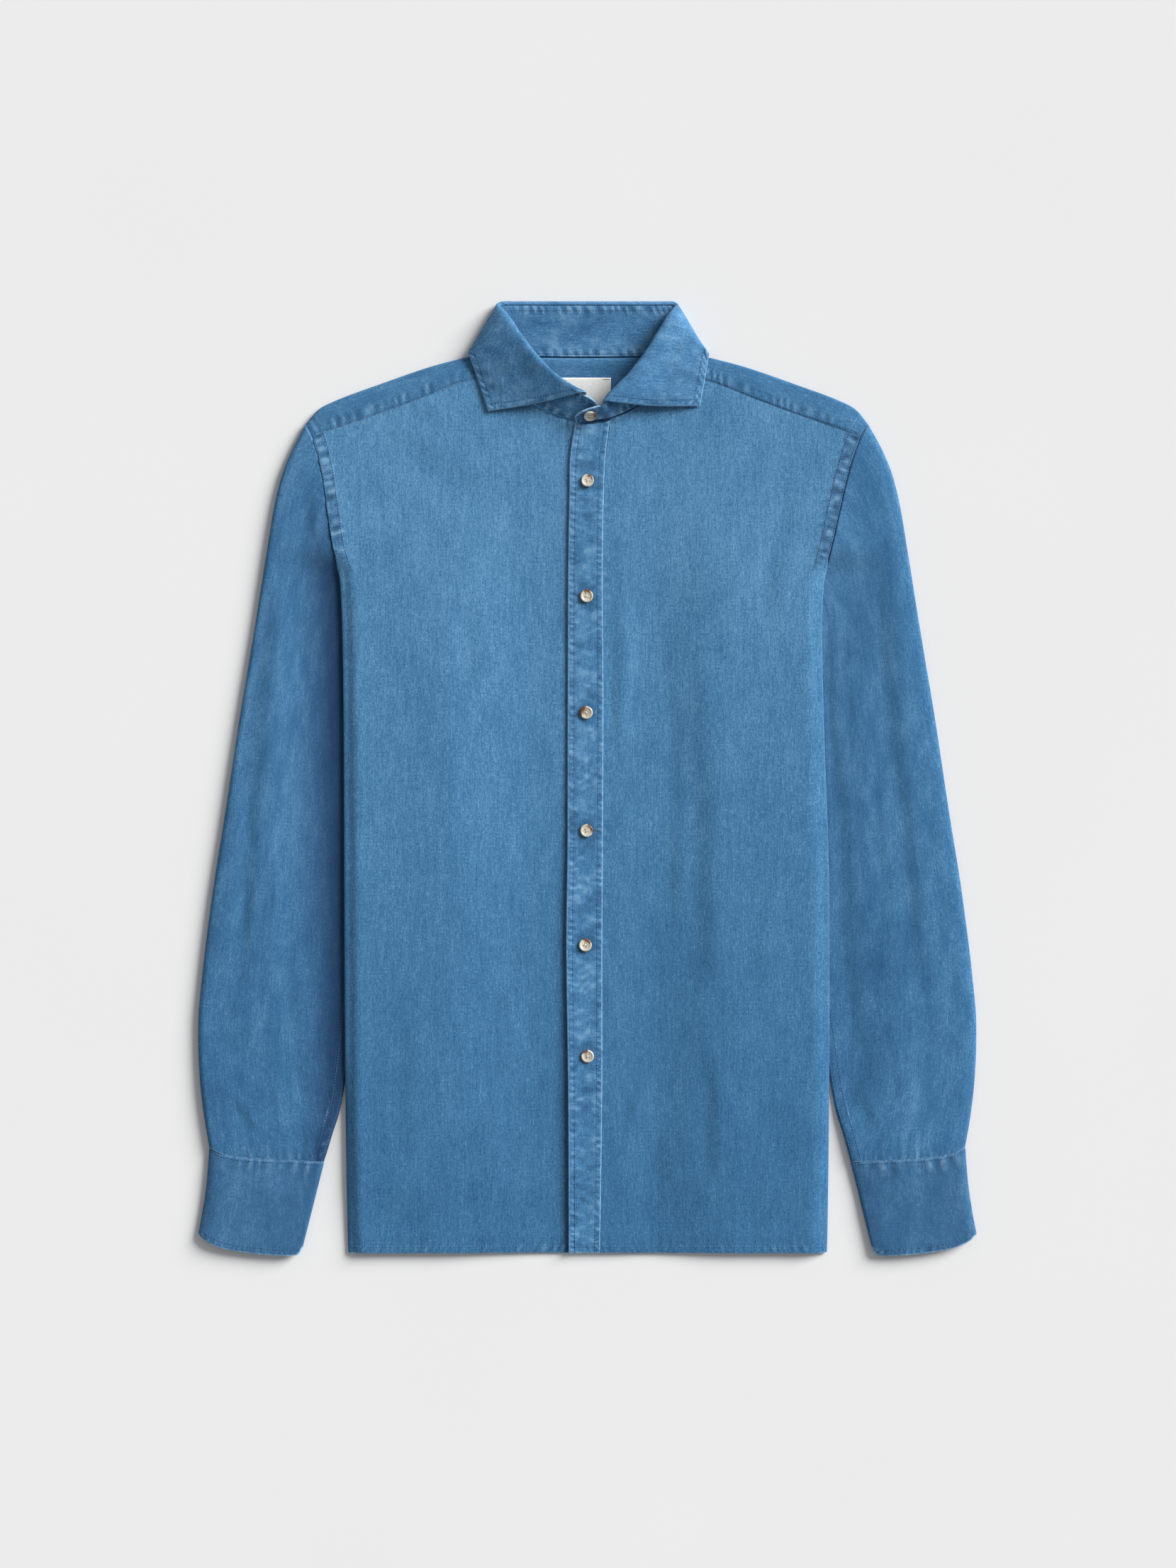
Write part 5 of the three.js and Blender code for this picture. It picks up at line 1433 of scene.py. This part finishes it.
def sew(name, lines, material, slot, **values):
    """Lines of points in millimetres become one plain mesh of stitches."""
    mesh = bpy.data.meshes.new(name)
    points, edges = [], []
    for line in lines:
        base = len(points)
        points += [tuple(c * MM for c in p) for p in line]
        edges += [(base + k, base + k + 1) for k in range(len(line) - 1)]
    mesh.from_pydata(points, edges, [])
    rows = put(name + "_rows", mesh)
    modifier = rows.modifiers.new("stitches", "NODES")
    modifier.node_group = STITCH_TREE
    modifier[STITCH_INPUTS["Material"]] = material
    for label, value in values.items():
        modifier[STITCH_INPUTS[label.replace("_", " ")]] = value
    rows.data.update()
    made = baked(rows)
    made.name = name
    put(name, made, slot)


UNDER_LIFT = 0.14         # stitches on the underside are sunk, so that the shirt lies flat on its cloth


def drop(name, line, lift=0.1, below=False):
    """Lays a flat line on a piece, seen from above or from below."""
    laid = [[]]
    from_z = -60.0 if below else 60.0
    for x, y in line:
        hit = covers[name].ray_cast(Vector((x, y, from_z)), Vector((0, 0, 1 if below else -1)))[0]
        if hit is None:
            laid.append([])
        else:
            laid[-1].append((x, y, hit.z + (UNDER_LIFT if below else lift)))
    return [run for run in laid if len(run) > 2]


def even(line, step=1.6):
    """The same line with evenly spaced points."""
    line = np.asarray(line, float)
    s = np.concatenate([[0], np.cumsum(np.linalg.norm(np.diff(line, axis=0), axis=1))])
    t = np.linspace(0, s[-1], max(3, int(s[-1] / step)))
    return np.stack([np.interp(t, s, line[:, k]) for k in range(line.shape[1])], -1)


def beside_line(line, away):
    """The same line, moved sideways: to its left if away is over nothing."""
    line = even(line, 3)
    way = np.gradient(line, axis=0)
    way /= np.linalg.norm(way, axis=1, keepdims=True)
    return line + np.stack([-way[:, 1], way[:, 0]], -1) * away


HEM_STITCHED = 5.4       # from the hem to its row of stitches


def hem_row(x0, x1):
    return even([(x0, HEM_Y + HEM_STITCHED), (x1, HEM_Y + HEM_STITCHED)])


tonal_rows, faded_rows = [], []
for side, word in SIDES:
    mirror = np.array([side, 1])
    panel, arm, wrist = f"{word}_front_panel", f"{word}_sleeve", f"{word}_cuff"
    faded_rows += drop(panel, hem_row(side * 14, side * 199))
    for away in (1.3, BAND_WIDTH - 1.0):
        line = beside_line(Curve(ARMHOLE_LINE[side]).p * mirror, -away * side)
        tonal_rows += drop(panel, even(line[line[:, 1] > 176]))
    tonal_rows += drop("yoke_panel", even(flat_curve(YOKE_SEAM).p * mirror + (0, 2.4)))
    tonal_rows += drop(wrist, even(flat_curve(CUFF_SEAM).p * mirror - (0, SEAM + 1.6)))
    line = beside_line(flat_curve(CUFF_END).p * mirror, -5.4 * side)
    faded_rows += drop(wrist, even(line[np.abs(line[:, 0]) > 249]))
    line = flat_curve(SLEEVE_INNER, side_name(side)).p * mirror
    for away in (1.6, 8.4):
        faded_rows += drop(arm, even(beside_line(line[line[:, 1] < -150], away * side)))
    below = [(side * (float(back_edge(np.array(float(y)), side)) - 4), y) for y in np.arange(HEM_Y, 80, 12)]
    faded_rows += drop("back_panel", even(below), below=True)
for left, away in (("left", STITCHED_LEFT), ("right", -STITCHED_RIGHT)):
    y = np.arange(HEM_Y + 1, NECK_Y - 1, 1.6)
    tonal_rows += drop("buttonhole_placket", np.stack([read(PLACKET, "y", left, y) + away, y], -1))
faded_rows += drop("buttonhole_placket", hem_row(-15, 10))
faded_rows += drop("yoke_panel", even([(-224, YOKE_BACK_Y + 2), (222, YOKE_BACK_Y + 2)]), below=True)
faded_rows += drop("back_panel", hem_row(-150, 150), below=True)


def on_grid(grid, rows_at, columns_at):
    """Points of a grid, at fractional rows and columns."""
    p = grid["p"]
    i, j = np.clip(rows_at, 0, p.shape[0] - 1.001), np.clip(columns_at, 0, p.shape[1] - 1.001)
    a, b = np.floor(i).astype(int), np.floor(j).astype(int)
    f, g = (i - a)[:, None], (j - b)[:, None]
    return mix(mix(p[a, b], p[a + 1, b], f), mix(p[a, b + 1], p[a + 1, b + 1], f), g)


def leaf_rows():
    """The leaf's topstitching: along its outer edge and both front edges."""
    stations, columns = np.arange(leaf_gap.shape[0]), np.arange(leaf_gap.shape[1])
    at_edge = np.array([np.interp(-LEAF_STITCHED, -gap, columns) for gap in leaf_gap])
    run = leaf_run[:, -1]
    keep = (run > LEAF_STITCHED) & (run[-1] - run > LEAF_STITCHED)
    p = on_grid(leaf_grid, stations[keep], at_edge[keep])
    shown = p[:, 2] > 5.2
    lines = [p[shown & (p[:, 0] < 0)], p[shown & (p[:, 0] > 0)]]
    for run in (leaf_run, leaf_run[-1:] - leaf_run):
        crossed = []
        for j in columns[4:]:
            order = np.argsort(run[:, j])
            i = np.interp(LEAF_STITCHED, run[order, j], order)
            if leaf_gap[int(i), j] > 5.6:
                crossed.append((i, j))
        lines.append(on_grid(leaf_grid, *np.array(crossed, float).T))
    return [laid for line in lines for laid in drop("collar_leaf_fold", even(line[:, :2]))]


def band_rows():
    """The band's topstitching: below its upper edge and above its seam."""
    found = []
    for places in (band_tall[:, 0] - 4.2, np.full(len(band_tall), 2.2)):
        line = []
        for column, place in zip(band_grid["p"], places):
            way = np.linalg.norm(column - column[0], axis=1)
            line.append([np.interp(place, way, column[:, k]) for k in range(2)])
        found += drop("collar_stand_band", even(line))
    return found


tonal_rows += leaf_rows()
tonal_rows += band_rows()
sew("tonal_topstitching", tonal_rows, TONAL_THREAD, "trim_denim")
sew("faded_topstitching", faded_rows, FADED_THREAD, "trim_denim")
sew("button_thread", button_threads, CREAM_THREAD, "label_cloth", Pitch=0.0005, Length=0.0011,
    Thread_radius=0.0002)

HOLE_WIDE, HOLE_REACH, HOLE_DOWN = 0.7, 6.9, 0.8      # a buttonhole: half across, half along, and its offset
holes = []
for bx, by in path(BUTTONS):
    ring = [(bx + HOLE_WIDE * math.cos(a), by - HOLE_DOWN + HOLE_REACH * math.sin(a))
            for a in np.linspace(0, 2 * math.pi, 90)]
    holes += drop("buttonhole_placket", even(ring, 0.5), lift=0.05)
sew("buttonhole_stitches", holes, TONAL_THREAD, "trim_denim", Pitch=0.00042, Length=0.0013, Thread_radius=0.0002,
    Across=True)
CORNER_LENGTH, CORNER_DOWN = 5, 1.6      # the label's corner stitches, and how far below its edge they are
corners = []
for x in (LABEL["left"] + 1.5, LABEL["right"] - 6.5):
    y = LABEL["high"] - CORNER_DOWN
    corners += drop("neck_label_tape", even([(x, y), (x + CORNER_LENGTH, y)], 0.6))
sew("label_corner_stitches", corners, BROWN_THREAD, "label_cloth", Pitch=0.0011, Length=0.001)


# Floor, light and camera

FLOOR_REACH = 4                                  # metres from the middle to the floor's edges
FLOOR_TONES = (0.79, 0.81)
SKY, SKY_STRENGTH = (0.97, 0.985, 1.0, 1), 0.33
SUN_COLOUR, SUN_STRENGTH, SUN_SPREAD = (1, 0.995, 0.985), 5.1, 32
SUN_WAY = (-0.75, -0.50, -0.45)                  # the way the light goes
SENSOR, EYE_DISTANCE, FRAME_HEIGHT = 36, 3.0, 1.3272      # millimetres, then metres
EYE = (0.0006, -0.0048, 3.006)


def studio():
    """A pale floor, an even sky, and one large soft light from the upper right."""
    mesh = bpy.data.meshes.new("pale_floor")
    corners = ((-1, -1), (1, -1), (1, 1), (-1, 1))
    mesh.from_pydata([(x * FLOOR_REACH, y * FLOOR_REACH, 0) for x, y in corners], [], [(0, 1, 2, 3)])
    floor = put("pale_floor", mesh)
    material, n, shader = new_material("pale_floor")
    place = n.add("ShaderNodeTexCoord").outputs["Object"]
    tone = n.add("ShaderNodeTexNoise", {"Vector": place, "Scale": 3.0, "Detail": 2.0}).outputs[0]
    n.join(n.blend(tone, *((grey, grey, grey, 1) for grey in FLOOR_TONES)), shader["Base Color"])
    n.join(0.9, shader["Roughness"])
    n.join(0.1, shader["Specular IOR Level"])
    mesh.materials.append(material)
    world = bpy.data.worlds.new("studio")
    bpy.context.scene.world = world
    world.use_nodes = True
    sky = world.node_tree.nodes["Background"].inputs
    sky[0].default_value, sky[1].default_value = SKY, SKY_STRENGTH

    sun = bpy.data.lights.new("large_soft_window", "SUN")
    sun.energy, sun.angle, sun.color = SUN_STRENGTH, math.radians(SUN_SPREAD), SUN_COLOUR
    lamp = put("large_soft_window", sun)
    lamp.rotation_euler = Vector(SUN_WAY).to_track_quat("-Z", "Y").to_euler()


def camera():
    """Straight above, and as high as the photograph's frame asks."""
    data = bpy.data.cameras.new("camera")
    data.lens = SENSOR * EYE_DISTANCE / FRAME_HEIGHT
    data.clip_end = 50
    eye = put("camera", data)
    eye.location = EYE
    bpy.context.scene.camera = eye
    bpy.context.scene.view_settings.view_transform = "Standard"


studio()
camera()
